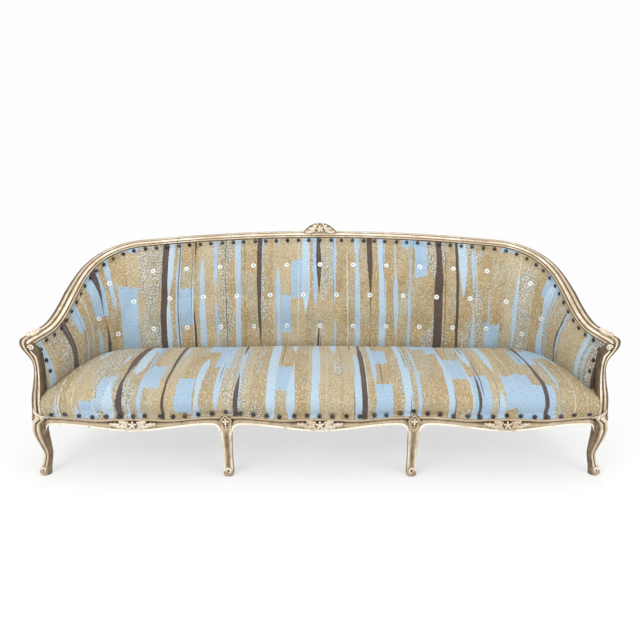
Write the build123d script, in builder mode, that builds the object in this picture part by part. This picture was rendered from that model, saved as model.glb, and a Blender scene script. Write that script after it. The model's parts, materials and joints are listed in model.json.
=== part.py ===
"""Long carved sofa with a basket-shaped back, cabriole legs and a stuffed-over seat.

Millimetres, +Z up, the front faces -Y. The origin is on the floor under the middle of the sofa.
Right means +X, the viewer's right. Heights are from the floor and depths from the front line,
just before the front rail's board. A place on the wall of back and arms is given by s, the
length along the wrap line from the middle of the back.
"""

import math
import os

from build123d import *

os.makedirs("parts", exist_ok=True)

# Seat plan: the wrap line is the seam where the seat meets the inside back and the arms
SEAM_DEPTH = 565.0
BOW_LENGTH = 850.0
BOW_TURN = 4.0
CORNER_RADIUS = 230.0
SIDE_SPLAY = 9.0
SIDE_LENGTH = 357.0

# Top rail: the heights and the outward flares are of its lower inner edge
BACK_HEIGHT = 906.0
CROWN_DROP = 39.0
SHOULDER_DROP = 227.0
SHOULDER_LENGTH = 490.0
FLARE_BACK = 145.0
FLARE_ARM = 33.0
FLARE_HAND = 36.0
HAND_LENGTH = 150.0
HAND_DEPTH = 52.0
HAND_NOSE = 16.0
HAND_SETBACK = 10.0
RAIL_DEPTH = 52.0
RAIL_HEIGHT = 27.0
RAIL_JOINT = 700.0
CREST_WIDTH = 164.0
CREST_RISE = 48.0
CREST_DEPTH = 30.0
LEAF_LENGTH = 76.0
LEAF_WIDTH = 30.0
LEAF_RISE = 12.0

# Seat frame
RAIL_BOTTOM = 240.0
RAIL_TOP = 305.0
BOARD_FRONT = 2.0
BOARD_THICK = 26.0
SHOW_TOP = 272.0
SHOW_REACH = 14.0
SHOW_BEAD = 16.0
ARCH_HEIGHT = 250.0
BAY_LOW = 226.0
BAY_BOW = 5.0
CARVING_WIDTH = 190.0
CARVING_HEIGHT = 44.0
CARVING_REACH = 24.0
CARVING_DROP = 2.0
BACK_RAIL_IN = 17.0
BACK_RAIL_THICK = 28.0
TENON_LENGTH = 18.0
TENON_THICK = 12.0
TENON_SHOULDER = 10.0
BEARER_HEIGHT = 40.0
BEARER_WIDTH = 44.0

# Front legs: sections from the floor up, as height, width, depth and setback of the centre
LEG_SPACING = 383.0
LEG_POST = 50.0
LEG_POST_DEPTH = 50.0
LEG_CORNER = 9.0
LEG_HEAD_WIDTH = 52.0
LEG_HEAD_TOP = 283.0
LEG_HEAD_REACH = 13.0
LEG_EAR = 62.0
LEG_NECK_HEIGHT = 206.0
LEG_POST_LAP = 10.0
LEG_HEAD_LAP = 20.0
MID_LEG_SECTIONS = (
    (0, 34, 36, 18),
    (14, 42, 46, 14),
    (40, 40, 40, 18),
    (95, 37, 36, 21),
    (150, 40, 40, 16),
    (205, 43, 50, 11),
    (240, 48, 54, 14),
)
CORNER_LEG_X = 1150.0
CORNER_LEG_Y = 30.0
CORNER_POST_WIDTH = 56.0
CORNER_POST_DEPTH = 56.0
CORNER_CHEEK = 18.0
CORNER_EAR_INSET = 10.0
CORNER_LEG_SECTIONS = (
    (0, 32, 34, -8),
    (14, 40, 44, -11),
    (40, 36, 38, -4),
    (90, 34, 34, 8),
    (130, 42, 42, 3),
    (170, 52, 52, -5),
    (212, 58, 58, -10),
    (245, 58, 56, -8),
)

# Rear legs run up to the top rail as posts
REAR_LEG_WIDTH = 50.0
REAR_LEG_RAKE = 52.0
REAR_FOOT = 38.0
REAR_KNEE = 120.0

# Arm stumps: sections as share of the height, width, depth and shift outward from the leg
STUMP_FRONT = -4.0
STUMP_DEPTH = 46.0
STUMP_CORNER = 9.0
STUMP_SECTIONS = (
    (0.0, 46, 46, -2),
    (0.2, 46, 46, -8),
    (0.42, 47, 46, -21),
    (0.64, 41, 44, -30),
    (0.78, 42, 44, -28),
    (0.9, 52, 46, -14),
    (1.0, 70, 46, 8),
)

# Upholstery
SEAM_HEIGHT = 385.0
SEAT_CROWN = 20.0
SEAT_ROLL_TOP = 392.0
SEAT_ROLL_DEPTH = 50.0
SEAT_ROLL_REACH = 16.0
SEAT_END_DROP = 10.0
SEAT_CLEARANCE = 3.5
APRON_THICK = 9.0
HESSIAN_HEIGHT = 358.0
HESSIAN_THICK = 2.0
POCKET_INSET = 60.0
PAD_BOTTOM = 318.0
PAD_BACK = 18.0
PAD_FULLNESS = 0.07
PAD_GAP = 2.0
PAD_END_GAP = 1.0
WEB_THICK = 2.5
WEB_GAP = 0.5
WEB_WIDTH = 50.0
BACK_WEBS = (0.0, 120.0, 240.0, 500.0, 620.0, 740.0)
COVER_IN = 47.0
COVER_THICK = 3.0
COVER_BOTTOM = 246.0
POST_CLEARANCE = 1.0
TACK_RAIL_BOTTOM = 320.0
TACK_RAIL_HEIGHT = 32.0
DUST_THICK = 1.5

# Springs, tufts and nails
SPRING_RADIUS = 40.0
SPRING_WIRE = 4.0
SPRING_TURNS = 3
SPRING_SIDES = 8
SPRING_COLUMNS = (88.0, 262.0, 510.0, 680.0, 850.0)
SPRING_ROWS = (160.0, 370.0)
TUFT_SPACING = 163.0
TUFT_ROWS = ((0.8, 0.0, 6), (0.515, 0.5, 7), (0.21, 0.0, 6))
TUFT_RADIUS = 30.0
TUFT_DEPTH = 9.0
TUFT_FLOOR = 13.0
BUTTON_RADIUS = 11.5
BUTTON_RISE = 8.0
NAIL_STRIP = 24.0
NAIL_RADIUS = 9.0
NAIL_RISE = 5.5
NAIL_SPACING = 54.0
NAIL_GAP = 0.8
NAIL_DROP = 12.0
NAIL_LIFT = 13.0
NAIL_HOP = 18.0
NAIL_BAND = 48.0
FRONT_NAIL_REACH = 1085.0
STUMP_NAIL_INSET = 14.0
STUMP_NAIL_SPACING = 46.0

# Glue blocks, screws and dowels
BLOCK_LEG = 50.0
BLOCK_DEPTH = 26.0
BLOCK_HEIGHT = 34.0
SCREW_RADIUS = 2.4
SCREW_HEAD_RADIUS = 4.5
SCREW_HEAD_DEPTH = 3.0
SCREW_BITE = 16.0
DOWEL_RADIUS = 5.0
DOWEL_LENGTH = 60.0

# Values that follow from the sizes above
FRONT = -(SEAM_DEPTH + FLARE_BACK + RAIL_DEPTH - CARVING_REACH) / 2
SEAM_Y = FRONT + SEAM_DEPTH
BOARD_BACK = BOARD_FRONT + BOARD_THICK
BOW_RADIUS = BOW_LENGTH / math.radians(BOW_TURN)
CORNER_TURN = 90 - SIDE_SPLAY - BOW_TURN
CORNER_END = BOW_LENGTH + CORNER_RADIUS * math.radians(CORNER_TURN)
WRAP_END = CORNER_END + SIDE_LENGTH
HAND_END = WRAP_END - HAND_NOSE - HAND_SETBACK
REAR_CORNER = (BOW_LENGTH + CORNER_END) / 2
POST_FRONT = PAD_BACK + WEB_THICK
POST_BACK = COVER_IN - POST_CLEARANCE
STUMP_BACK_Y = FRONT + STUMP_FRONT + STUMP_DEPTH
CORNER_POST_FACE = CORNER_LEG_X - CORNER_POST_WIDTH / 2
CORNER_EAR_X = CORNER_LEG_X - CORNER_EAR_INSET
LEG_FACE = LEG_SPACING + LEG_POST / 2


def save(piece, name):
    """Label one piece and write it."""
    piece.label = name
    export_step(piece, f"parts/{name}.step")


def save_pair(piece, name):
    """Write a right-hand piece and its mirror image."""
    save(piece, f"{name}_right")
    save(mirror(piece, about=Plane.YZ), f"{name}_left")


def smooth(share):
    """Ease from 0 to 1."""
    share = min(max(share, 0.0), 1.0)
    return share * share * (3 - 2 * share)


def spread(first, last, count):
    """Evenly spaced values from first to last."""
    return [first + (last - first) * step / (count - 1) for step in range(count)]


with BuildLine() as wrap_line:
    bow_arc = JernArc((0, SEAM_Y), (1, 0), BOW_RADIUS, -BOW_TURN)
    corner_arc = JernArc(bow_arc @ 1, bow_arc % 1, CORNER_RADIUS, -CORNER_TURN)
    side_line = Line(corner_arc @ 1, corner_arc @ 1 + (corner_arc % 1) * SIDE_LENGTH)


def wall_plane(s):
    """Upright plane across the wrap line: local x is outward and local y is up."""
    reach = abs(s)
    hand = math.copysign(1, s)
    if reach < BOW_LENGTH:
        edge, share = bow_arc, reach / BOW_LENGTH
    elif reach < CORNER_END:
        edge, share = corner_arc, (reach - BOW_LENGTH) / (CORNER_END - BOW_LENGTH)
    else:
        edge, share = side_line, (reach - CORNER_END) / SIDE_LENGTH
    spot = edge @ share
    heading = edge % share
    return Plane(
        origin=(hand * spot.X, spot.Y, 0),
        x_dir=(-hand * heading.Y, heading.X, 0),
        z_dir=(heading.X, hand * heading.Y, 0),
    )


def hand_share(s):
    """0 along the back, rising to 1 where the rail widens into the hand of the arm."""
    return smooth((abs(s) - HAND_END + HAND_LENGTH) / HAND_LENGTH)


def flare(s):
    """How far the top rail's edge stands outside the wrap line."""
    turn = smooth((abs(s) - BOW_LENGTH) / (CORNER_END - BOW_LENGTH))
    return FLARE_BACK + (FLARE_ARM - FLARE_BACK) * turn + (FLARE_HAND - FLARE_ARM) * hand_share(s)


def rail_depth(s):
    """Depth of the top rail, which grows towards the hand."""
    return RAIL_DEPTH + (HAND_DEPTH - RAIL_DEPTH) * hand_share(s)


def rail_z(s):
    """Height of the top rail's lower inner edge."""
    crown = CROWN_DROP * (s / BOW_LENGTH) ** 2
    return BACK_HEIGHT - crown - SHOULDER_DROP * smooth((abs(s) - BOW_LENGTH) / SHOULDER_LENGTH)


def rail_stretch(s):
    """Factor by which an upright cut through the sloping rail is taller than the rail."""
    return math.hypot(1, (rail_z(s + 1) - rail_z(s - 1)) / 2)


def lean(s, height):
    """How far the wall stands outside the wrap line at a height."""
    share = (height - SEAM_HEIGHT) / (rail_z(s) - SEAM_HEIGHT)
    return flare(s) * min(max(share, 0.0), 1.0)


def rail_section(s, size=1.0):
    """Moulded section of the top rail: three reeds step up and back from the upholstery."""
    tall = RAIL_HEIGHT * rail_stretch(s)

    def at(out, up):
        """Point of the section, from shares of its depth and height."""
        return (
            flare(s) + rail_depth(s) * (0.5 + size * (out - 0.5)),
            rail_z(s) + tall * (0.5 + size * (up - 0.5)),
        )

    with BuildSketch(wall_plane(s)) as section:
        with BuildLine():
            lip = Line(at(0, 0), at(0, 0.2))
            reed_low = ThreePointArc(lip @ 1, at(0.04, 0.4), at(0.18, 0.48))
            step_low = Line(reed_low @ 1, at(0.24, 0.5))
            reed_mid = ThreePointArc(step_low @ 1, at(0.29, 0.7), at(0.46, 0.79))
            step_mid = Line(reed_mid @ 1, at(0.52, 0.8))
            reed_top = ThreePointArc(step_mid @ 1, at(0.72, 1.0), at(0.92, 0.85))
            Polyline(reed_top @ 1, at(1, 0.6), at(1, 0), at(0, 0))
        make_face()
    return section.sketch


def layer_section(s, inner, thick, bottom, top):
    """Section of a layer of the wall that lies all above or all below the seam."""
    with BuildSketch(wall_plane(s)) as section:
        Polygon(
            (inner + lean(s, bottom), bottom),
            (inner + thick + lean(s, bottom), bottom),
            (inner + thick + lean(s, top), top),
            (inner + lean(s, top), top),
            align=None,
        )
    return section.sketch


def cover_section(s):
    """Section of the outside cover: upright behind the seat rail, then leaning with the wall."""
    top = rail_z(s) - PAD_GAP
    with BuildSketch(wall_plane(s)) as section:
        Polygon(
            (COVER_IN, COVER_BOTTOM),
            (COVER_IN + COVER_THICK, COVER_BOTTOM),
            (COVER_IN + COVER_THICK, SEAM_HEIGHT),
            (COVER_IN + COVER_THICK + lean(s, top), top),
            (COVER_IN + lean(s, top), top),
            (COVER_IN, SEAM_HEIGHT),
            align=None,
        )
    return section.sketch


def pad_arc(s):
    """Centre and radius of the arc that the inside pad's face follows in its section."""
    top = rail_z(s) - NAIL_STRIP
    rise = top - SEAM_HEIGHT
    chord = math.hypot(flare(s), rise)
    bulge = PAD_FULLNESS * chord
    radius = (chord**2 / 4 + bulge**2) / (2 * bulge)
    back = (radius - bulge) / chord
    centre = (flare(s) / 2 + rise * back, SEAM_HEIGHT + rise / 2 - flare(s) * back)
    return centre, radius


def pad_face(s, height):
    """Outward place of the inside pad's face at a height."""
    (out, up), radius = pad_arc(s)
    return out - math.sqrt(radius**2 - (height - up) ** 2)


def pad_section(s):
    """Section of the inside pad: upright at the seat, full above it, flat under the rail."""
    strip = rail_z(s) - NAIL_STRIP
    middle = (SEAM_HEIGHT + strip) / 2
    with BuildSketch(wall_plane(s)) as section:
        with BuildLine():
            foot = Line((0, PAD_BOTTOM), (0, SEAM_HEIGHT))
            full = ThreePointArc(foot @ 1, (pad_face(s, middle), middle), (flare(s), strip))
            Polyline(
                full @ 1,
                (flare(s), rail_z(s) - PAD_GAP),
                (flare(s) + PAD_BACK, rail_z(s) - PAD_GAP),
                (PAD_BACK, SEAM_HEIGHT),
                (PAD_BACK, PAD_BOTTOM),
                (0, PAD_BOTTOM),
            )
        make_face()
    return section.sketch


def seat_plan(inset, front):
    """Plan of the seat: the wrap line moved in by inset, closed by a straight front."""
    with BuildSketch() as plan:
        with BuildLine():
            bow = JernArc((0, SEAM_Y - inset), (1, 0), BOW_RADIUS - inset, -BOW_TURN)
            turn = JernArc(bow @ 1, bow % 1, CORNER_RADIUS - inset, -CORNER_TURN)
            run = ((turn @ 1).Y - front) / math.cos(math.radians(SIDE_SPLAY))
            side = Line(turn @ 1, turn @ 1 + (turn % 1) * run)
            Line(side @ 1, (0, front))
            mirror(about=Plane.YZ)
        make_face()
    return plan.sketch


def tuft_places(first, last):
    """The wall places, s and height, of the tufts between two values of s."""
    places = []
    for share, shift, count in TUFT_ROWS:
        for step in range(-count, count + 1):
            s = (step + shift) * TUFT_SPACING
            if first < s < last and abs(step + shift) <= count - shift:
                rise = rail_z(s) - NAIL_STRIP - SEAM_HEIGHT
                places.append((s, SEAM_HEIGHT + share * rise))
    return places


def tuft_plane(s, height):
    """Plane on the inside pad's face, its z towards the sitter."""
    wall = wall_plane(s)
    (out, up), radius = pad_arc(s)
    face = pad_face(s, height)
    spot = wall.from_local_coords((face, height, 0))
    aim = wall.from_local_coords((face + (face - out) / radius, height + (height - up) / radius, 0))
    return Plane(origin=spot, x_dir=wall.z_dir, z_dir=aim - spot)


def dome(radius, rise, sides):
    """Low faceted dome on the plane z = 0, for nail heads and buttons."""
    sections = []
    for width, height in ((1.0, 0.0), (0.78, 0.65), (0.3, 1.0)):
        with BuildSketch(Plane.XY.offset(rise * height)) as ring:
            RegularPolygon(radius * width, sides)
        sections.append(ring.sketch)
    loft(sections=sections, ruled=True)


with BuildPart() as nail:
    dome(NAIL_RADIUS, NAIL_RISE, 6)

with BuildPart() as button:
    dome(BUTTON_RADIUS, BUTTON_RISE, 8)

# Faceted hollow that a tuft draws into the pad
with BuildPart() as dimple:
    with BuildSketch(Plane.XY.offset(TUFT_DEPTH / 3)):
        RegularPolygon(TUFT_RADIUS * 4 / 3, 8)
    with BuildSketch(Plane.XY.offset(-TUFT_DEPTH)):
        RegularPolygon(TUFT_FLOOR, 8)
    loft(ruled=True)


def places_on(planes):
    """Locations for copies of one piece, each standing on its own plane."""
    return Locations([Location(plane) for plane in planes])


def behind(y):
    """Plane that faces back at a depth, to trim a piece against what stands before it."""
    return Plane(origin=(0, y, 0), z_dir=(0, 1, 0))


# Top rail, centre piece, with the carved shell of the crest
with BuildPart() as crest_rail:
    loft(sections=[rail_section(s) for s in spread(-RAIL_JOINT, RAIL_JOINT, 9)])
    crest_y = SEAM_Y + FLARE_BACK + RAIL_DEPTH / 2
    crest_base = BACK_HEIGHT + RAIL_HEIGHT * 0.8
    with BuildSketch(Plane.XZ.offset(-crest_y - CREST_DEPTH / 2)):
        with Locations((0, crest_base)):
            Circle(CREST_RISE * 0.45)
            with PolarLocations(CREST_RISE * 0.62, 5, start_angle=18, angular_range=144, endpoint=True):
                Ellipse(CREST_RISE * 0.38, CREST_RISE * 0.24)
        for side in (-1, 1):
            with Locations((side * CREST_WIDTH * 0.3, crest_base + CREST_RISE * 0.1)):
                Ellipse(CREST_WIDTH * 0.2, CREST_RISE * 0.22, rotation=-12 * side)
    extrude(amount=CREST_DEPTH)

# Top rail, right wing: it sweeps round the corner and down into the hand of the arm
with BuildPart() as wing_rail:
    loft(sections=[rail_section(s) for s in spread(RAIL_JOINT, HAND_END, 13)])
    nose = ((0, 1.0), (0.6, 0.86), (1.0, 0.5))
    loft(sections=[rail_section(HAND_END + reach * HAND_NOSE, size) for reach, size in nose], ruled=True)
    leaf_s = HAND_END - LEAF_LENGTH
    leaf_wall = wall_plane(leaf_s)
    leaf_spot = leaf_wall.from_local_coords(
        (flare(leaf_s) + rail_depth(leaf_s) * 0.5, rail_z(leaf_s) + RAIL_HEIGHT * 0.78, 0)
    )
    with BuildSketch(Plane(origin=leaf_spot, x_dir=leaf_wall.z_dir, z_dir=(0, 0, 1))):
        Ellipse(LEAF_LENGTH / 2, LEAF_WIDTH / 2)
    extrude(amount=LEAF_RISE, taper=25)

# Dowels across the two joints of the top rail
with BuildPart() as rail_dowels:
    for side in (-1, 1):
        joint = wall_plane(side * RAIL_JOINT)
        for out, up in ((0.3, 0.25), (0.7, 0.4)):
            spot = (flare(RAIL_JOINT) + out * RAIL_DEPTH, rail_z(RAIL_JOINT) + up * RAIL_HEIGHT)
            with BuildSketch(joint.offset(-DOWEL_LENGTH / 2)):
                with Locations(spot):
                    Circle(DOWEL_RADIUS)
            extrude(amount=DOWEL_LENGTH)
with BuildPart(mode=Mode.PRIVATE) as crest_bored:
    add(crest_rail.part)
    add(rail_dowels.part, mode=Mode.SUBTRACT)
with BuildPart(mode=Mode.PRIVATE) as wing_bored:
    add(wing_rail.part)
    add(rail_dowels.part, mode=Mode.SUBTRACT)
save(crest_bored.part, "crest_rail")
save_pair(wing_bored.part, "wing_rail")
save(rail_dowels.part, "rail_dowels")


def tenon_ends(x0, x1, y, z):
    """Tenons at both ends of a rail that runs along X, centred at y and z."""
    tall = RAIL_TOP - RAIL_BOTTOM - 2 * TENON_SHOULDER
    for end in (x0 - TENON_LENGTH / 2, x1 + TENON_LENGTH / 2):
        with Locations((end, y, z)):
            Box(TENON_LENGTH, TENON_THICK, tall)


def bay_section(x, share):
    """Section of the front rail's moulding: a cove over a bead, lowest in the middle of a bay."""
    swell = (1 + math.cos(math.pi * share)) / 2
    low = ARCH_HEIGHT + (BAY_LOW - ARCH_HEIGHT) * swell
    face = FRONT - SHOW_REACH + BAY_BOW * (1 - swell)
    with BuildSketch(Plane.YZ.offset(x)) as section:
        with BuildLine():
            top = Line((FRONT + BOARD_BACK / 2, SHOW_TOP), (face + SHOW_REACH / 2, SHOW_TOP))
            cove_end = (face + SHOW_REACH / 3, low + SHOW_BEAD * 0.8)
            cove = ThreePointArc(
                top @ 1,
                (face + SHOW_REACH * 0.65, (SHOW_TOP + low + SHOW_BEAD * 0.8) / 2),
                cove_end,
            )
            bead = ThreePointArc(cove @ 1, (face, low + SHOW_BEAD * 0.4), (face + SHOW_REACH / 3, low))
            Polyline(bead @ 1, (FRONT + BOARD_BACK / 2, low), top @ 0)
        make_face()
    return section.sketch


def front_rail(x0, x1, ear0, ear1):
    """One bay of the front rail: board, tenons, moulding and the carved spray in its middle."""
    middle = (RAIL_TOP + RAIL_BOTTOM) / 2
    board_y = FRONT + (BOARD_FRONT + BOARD_BACK) / 2
    with Locations(((x0 + x1) / 2, board_y, middle)):
        Box(x1 - x0, BOARD_THICK, RAIL_TOP - RAIL_BOTTOM)
    tenon_ends(x0, x1, board_y, middle)
    centre = (ear0 + ear1) / 2
    half = (ear1 - ear0) / 2
    loft(sections=[bay_section(centre + share * half, share) for share in spread(-1, 1, 9)])
    low = SHOW_TOP - CARVING_HEIGHT / 2 - CARVING_DROP
    with BuildSketch(Plane.XZ.offset(-FRONT)) as sprays:
        for side in (-1, 1):
            for out, up, long, turn in ((0.2, 0.1, 0.15, 25), (0.36, -0.02, 0.14, -14)):
                with Locations((centre + side * out * CARVING_WIDTH, low + up * CARVING_HEIGHT)):
                    Ellipse(long * CARVING_WIDTH, CARVING_HEIGHT * 0.2, rotation=side * turn)
    extrude(sprays.sketch, amount=CARVING_REACH * 0.8)
    with BuildSketch(Plane.XZ.offset(-FRONT)) as flower:
        with Locations((centre, low)):
            Circle(CARVING_HEIGHT * 0.3)
            with PolarLocations(CARVING_HEIGHT * 0.3, 5, start_angle=90):
                Circle(CARVING_HEIGHT * 0.2)
    extrude(flower.sketch, amount=CARVING_REACH)


with BuildPart() as front_rail_centre:
    post_inner = LEG_SPACING - LEG_POST / 2
    ear_inner = LEG_SPACING - LEG_EAR
    front_rail(-post_inner, post_inner, -ear_inner, ear_inner)

with BuildPart() as front_rail_side:
    front_rail(LEG_FACE, CORNER_POST_FACE, LEG_SPACING + LEG_EAR, CORNER_EAR_X - LEG_EAR)


def wall_rail(first, last, bottom, top, inner, thick, count):
    """Curved rail along the wall with a tenon at each end."""
    loft(sections=[layer_section(s, inner, thick, bottom, top) for s in spread(first, last, count)])
    core = inner + (thick - TENON_THICK) / 2
    for end, tip in ((first, first - TENON_LENGTH), (last, last + TENON_LENGTH)):
        loft(
            sections=[
                layer_section(s, core, TENON_THICK, bottom + TENON_SHOULDER, top - TENON_SHOULDER)
                for s in sorted((end, tip))
            ]
        )


half_leg = REAR_LEG_WIDTH / 2
seat_rail_sizes = (RAIL_BOTTOM, RAIL_TOP, BACK_RAIL_IN, BACK_RAIL_THICK)
tack_rail_top = TACK_RAIL_BOTTOM + TACK_RAIL_HEIGHT
tack_rail_sizes = (TACK_RAIL_BOTTOM, tack_rail_top, POST_FRONT, POST_BACK - POST_FRONT)

with BuildPart() as back_seat_rail_centre:
    wall_rail(half_leg - LEG_SPACING, LEG_SPACING - half_leg, *seat_rail_sizes, 5)

with BuildPart() as back_seat_rail_side:
    wall_rail(LEG_SPACING + half_leg, REAR_CORNER - half_leg, *seat_rail_sizes, 9)

with BuildPart() as lower_back_rail_centre:
    wall_rail(half_leg - LEG_SPACING, LEG_SPACING - half_leg, *tack_rail_sizes, 5)

with BuildPart() as lower_back_rail_side:
    wall_rail(LEG_SPACING + half_leg, REAR_CORNER - half_leg, *tack_rail_sizes, 9)

side_rail_end = WRAP_END - (CORNER_LEG_Y + CORNER_POST_DEPTH / 2)
with BuildPart() as side_seat_rail:
    wall_rail(REAR_CORNER + half_leg, side_rail_end, *seat_rail_sizes, 9)

# Bearer under the seat between a front leg and a rear leg
bearer_back = wall_plane(LEG_SPACING).origin.Y + POST_FRONT
bearer_front = FRONT + LEG_POST_DEPTH
bearer_z = RAIL_BOTTOM + TENON_SHOULDER + BEARER_HEIGHT / 2
with BuildPart() as seat_bearer:
    with Locations((LEG_SPACING, (bearer_front + bearer_back) / 2, bearer_z)):
        Box(BEARER_WIDTH, bearer_back - bearer_front, BEARER_HEIGHT)
        Box(TENON_THICK, bearer_back - bearer_front + 2 * TENON_LENGTH, BEARER_HEIGHT - TENON_SHOULDER)


def post_section(s):
    """Section of a rear post: it fills the wall between the webbing and the outside cover."""
    top = rail_z(s) + RAIL_HEIGHT / 2
    over = flare(s) * (top - SEAM_HEIGHT) / (rail_z(s) - SEAM_HEIGHT)
    with BuildSketch(wall_plane(s)) as section:
        Polygon(
            (POST_FRONT, RAIL_BOTTOM),
            (POST_BACK, RAIL_BOTTOM),
            (POST_BACK, SEAM_HEIGHT),
            (POST_BACK + over, top),
            (POST_FRONT + over, top),
            (POST_FRONT, SEAM_HEIGHT),
            align=None,
        )
    return section.sketch


def rear_leg(s):
    """Raked rear leg that runs on as a post behind the inside back, up into the top rail."""
    loft(sections=[post_section(place) for place in spread(s - half_leg, s + half_leg, 3)])
    with BuildSketch(wall_plane(s).offset(-half_leg)) as outline:
        with BuildLine():
            top = Line((POST_FRONT, RAIL_BOTTOM), (POST_BACK, RAIL_BOTTOM))
            heel = (POST_BACK + REAR_LEG_RAKE, 0)
            rear = ThreePointArc(top @ 1, (POST_BACK + REAR_LEG_RAKE * 0.2, REAR_KNEE), heel)
            sole = Line(rear @ 1, (POST_BACK + REAR_LEG_RAKE - REAR_FOOT, 0))
            ThreePointArc(sole @ 1, (POST_FRONT + REAR_LEG_RAKE * 0.12, REAR_KNEE), top @ 0)
        make_face()
    extrude(outline.sketch, amount=REAR_LEG_WIDTH)


with BuildPart() as rear_mid_leg:
    rear_leg(LEG_SPACING)
    for rail in (crest_rail, back_seat_rail_centre, back_seat_rail_side):
        add(rail.part, mode=Mode.SUBTRACT)
    for rail in (lower_back_rail_centre, lower_back_rail_side, seat_bearer):
        add(rail.part, mode=Mode.SUBTRACT)

with BuildPart() as rear_corner_leg:
    rear_leg(REAR_CORNER)
    for rail in (wing_rail, back_seat_rail_side, lower_back_rail_side, side_seat_rail):
        add(rail.part, mode=Mode.SUBTRACT)


def leg_loft(sections, origin, heading):
    """Cabriole leg lofted through rounded sections that swing out at the knee and the toe."""
    slices = []
    for height, width, depth, setback in sections:
        with BuildSketch(Plane(origin=(*origin, height), x_dir=heading, z_dir=(0, 0, 1))) as slice_of_leg:
            with Locations((0, setback)):
                RectangleRounded(width, depth, LEG_CORNER)
        slices.append(slice_of_leg.sketch)
    loft(sections=slices)


def leg_ear(x, side, neck):
    """Bracket at the top of a leg that sweeps out to the front rail's moulding."""
    tip = x + side * LEG_EAR
    with BuildSketch(Plane.XZ.offset(-FRONT)) as bracket:
        with BuildLine():
            top = Line((x, SHOW_TOP), (tip, SHOW_TOP))
            end = Line(top @ 1, (tip, ARCH_HEIGHT))
            waist = (x + side * neck, LEG_NECK_HEIGHT)
            sweep_in = ThreePointArc(
                end @ 1,
                (x + side * (neck + (LEG_EAR - neck) * 0.32), (ARCH_HEIGHT * 0.7 + LEG_NECK_HEIGHT * 0.3)),
                waist,
            )
            Polyline(sweep_in @ 1, (x, LEG_NECK_HEIGHT), top @ 0)
        make_face()
    extrude(bracket.sketch, amount=LEG_HEAD_REACH)


with BuildPart() as front_mid_leg:
    leg_loft(MID_LEG_SECTIONS, (LEG_SPACING, FRONT), (1, 0, 0))
    post_low = LEG_NECK_HEIGHT + LEG_POST_LAP
    with Locations((LEG_SPACING, FRONT + LEG_POST_DEPTH / 2, (RAIL_TOP + post_low) / 2)):
        Box(LEG_POST, LEG_POST_DEPTH, RAIL_TOP - post_low)
    with BuildSketch(Plane.XZ.offset(-FRONT)):
        with BuildLine():
            head_side = LEG_HEAD_WIDTH / 2
            shoulder = (LEG_HEAD_TOP + SHOW_TOP) / 2
            crown = ThreePointArc(
                (LEG_SPACING - head_side, shoulder),
                (LEG_SPACING, LEG_HEAD_TOP),
                (LEG_SPACING + head_side, shoulder),
            )
            Polyline(
                crown @ 1,
                (LEG_SPACING + head_side, LEG_NECK_HEIGHT + LEG_HEAD_LAP),
                (LEG_SPACING - head_side, LEG_NECK_HEIGHT + LEG_HEAD_LAP),
                crown @ 0,
            )
        make_face()
    extrude(amount=LEG_HEAD_REACH)
    for side in (-1, 1):
        leg_ear(LEG_SPACING, side, MID_LEG_SECTIONS[-2][1] / 2)
    for rail in (front_rail_centre, front_rail_side, seat_bearer):
        add(rail.part, mode=Mode.SUBTRACT)

with BuildPart() as front_corner_leg:
    leg_loft(CORNER_LEG_SECTIONS, (CORNER_LEG_X, FRONT + CORNER_LEG_Y), (1, 1, 0))
    post_x = CORNER_POST_FACE + CORNER_POST_WIDTH / 2
    cheek_y = FRONT + STUMP_FRONT + CORNER_CHEEK
    post_back = FRONT + CORNER_LEG_Y + CORNER_POST_DEPTH / 2
    post_low = LEG_NECK_HEIGHT + LEG_HEAD_LAP
    with Locations((post_x, (cheek_y + post_back) / 2, (RAIL_TOP + post_low) / 2)):
        Box(CORNER_POST_WIDTH, post_back - cheek_y, RAIL_TOP - post_low)
    stump_low = STUMP_SECTIONS[0]
    cheek_slices = []
    for height, width, shift in (
        (post_low, CORNER_POST_WIDTH, 0),
        (SHOW_TOP, (CORNER_POST_WIDTH + stump_low[1]) / 2, stump_low[3] * 0.75),
        (RAIL_TOP, stump_low[1], stump_low[3]),
    ):
        with BuildSketch(Plane.XY.offset(height)) as cheek:
            with Locations((CORNER_LEG_X + shift, cheek_y - CORNER_CHEEK / 2)):
                Rectangle(width, CORNER_CHEEK)
        cheek_slices.append(cheek.sketch)
    loft(sections=cheek_slices)
    leg_ear(CORNER_EAR_X, -1, CORNER_LEG_SECTIONS[-2][1] / 2)
    for rail in (front_rail_side, side_seat_rail):
        add(rail.part, mode=Mode.SUBTRACT)

# Arm stump: an S-shaped upright from the corner leg to the hand of the arm
stump_foot = RAIL_TOP
stump_head = rail_z(HAND_END) + RAIL_HEIGHT / 2
with BuildPart() as arm_stump:
    stump_slices = []
    for share, width, depth, shift in STUMP_SECTIONS:
        level = stump_foot + share * (stump_head - stump_foot)
        with BuildSketch(Plane.XY.offset(level)) as stump_slice:
            with Locations((CORNER_LEG_X + shift, STUMP_BACK_Y - STUMP_DEPTH / 2)):
                RectangleRounded(width, depth, STUMP_CORNER)
        stump_slices.append(stump_slice.sketch)
    loft(sections=stump_slices)
    add(wing_rail.part, mode=Mode.SUBTRACT)

save_pair(arm_stump.part, "arm_stump")
save_pair(front_corner_leg.part, "front_corner_leg")
save_pair(rear_mid_leg.part, "rear_mid_leg")
save_pair(rear_corner_leg.part, "rear_corner_leg")
save(back_seat_rail_centre.part, "back_seat_rail_centre")
save_pair(back_seat_rail_side.part, "back_seat_rail")
save(lower_back_rail_centre.part, "lower_back_rail_centre")
save_pair(lower_back_rail_side.part, "lower_back_rail")
save_pair(side_seat_rail.part, "side_seat_rail")
save_pair(seat_bearer.part, "seat_bearer")
save_pair(front_mid_leg.part, "front_mid_leg")


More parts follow.
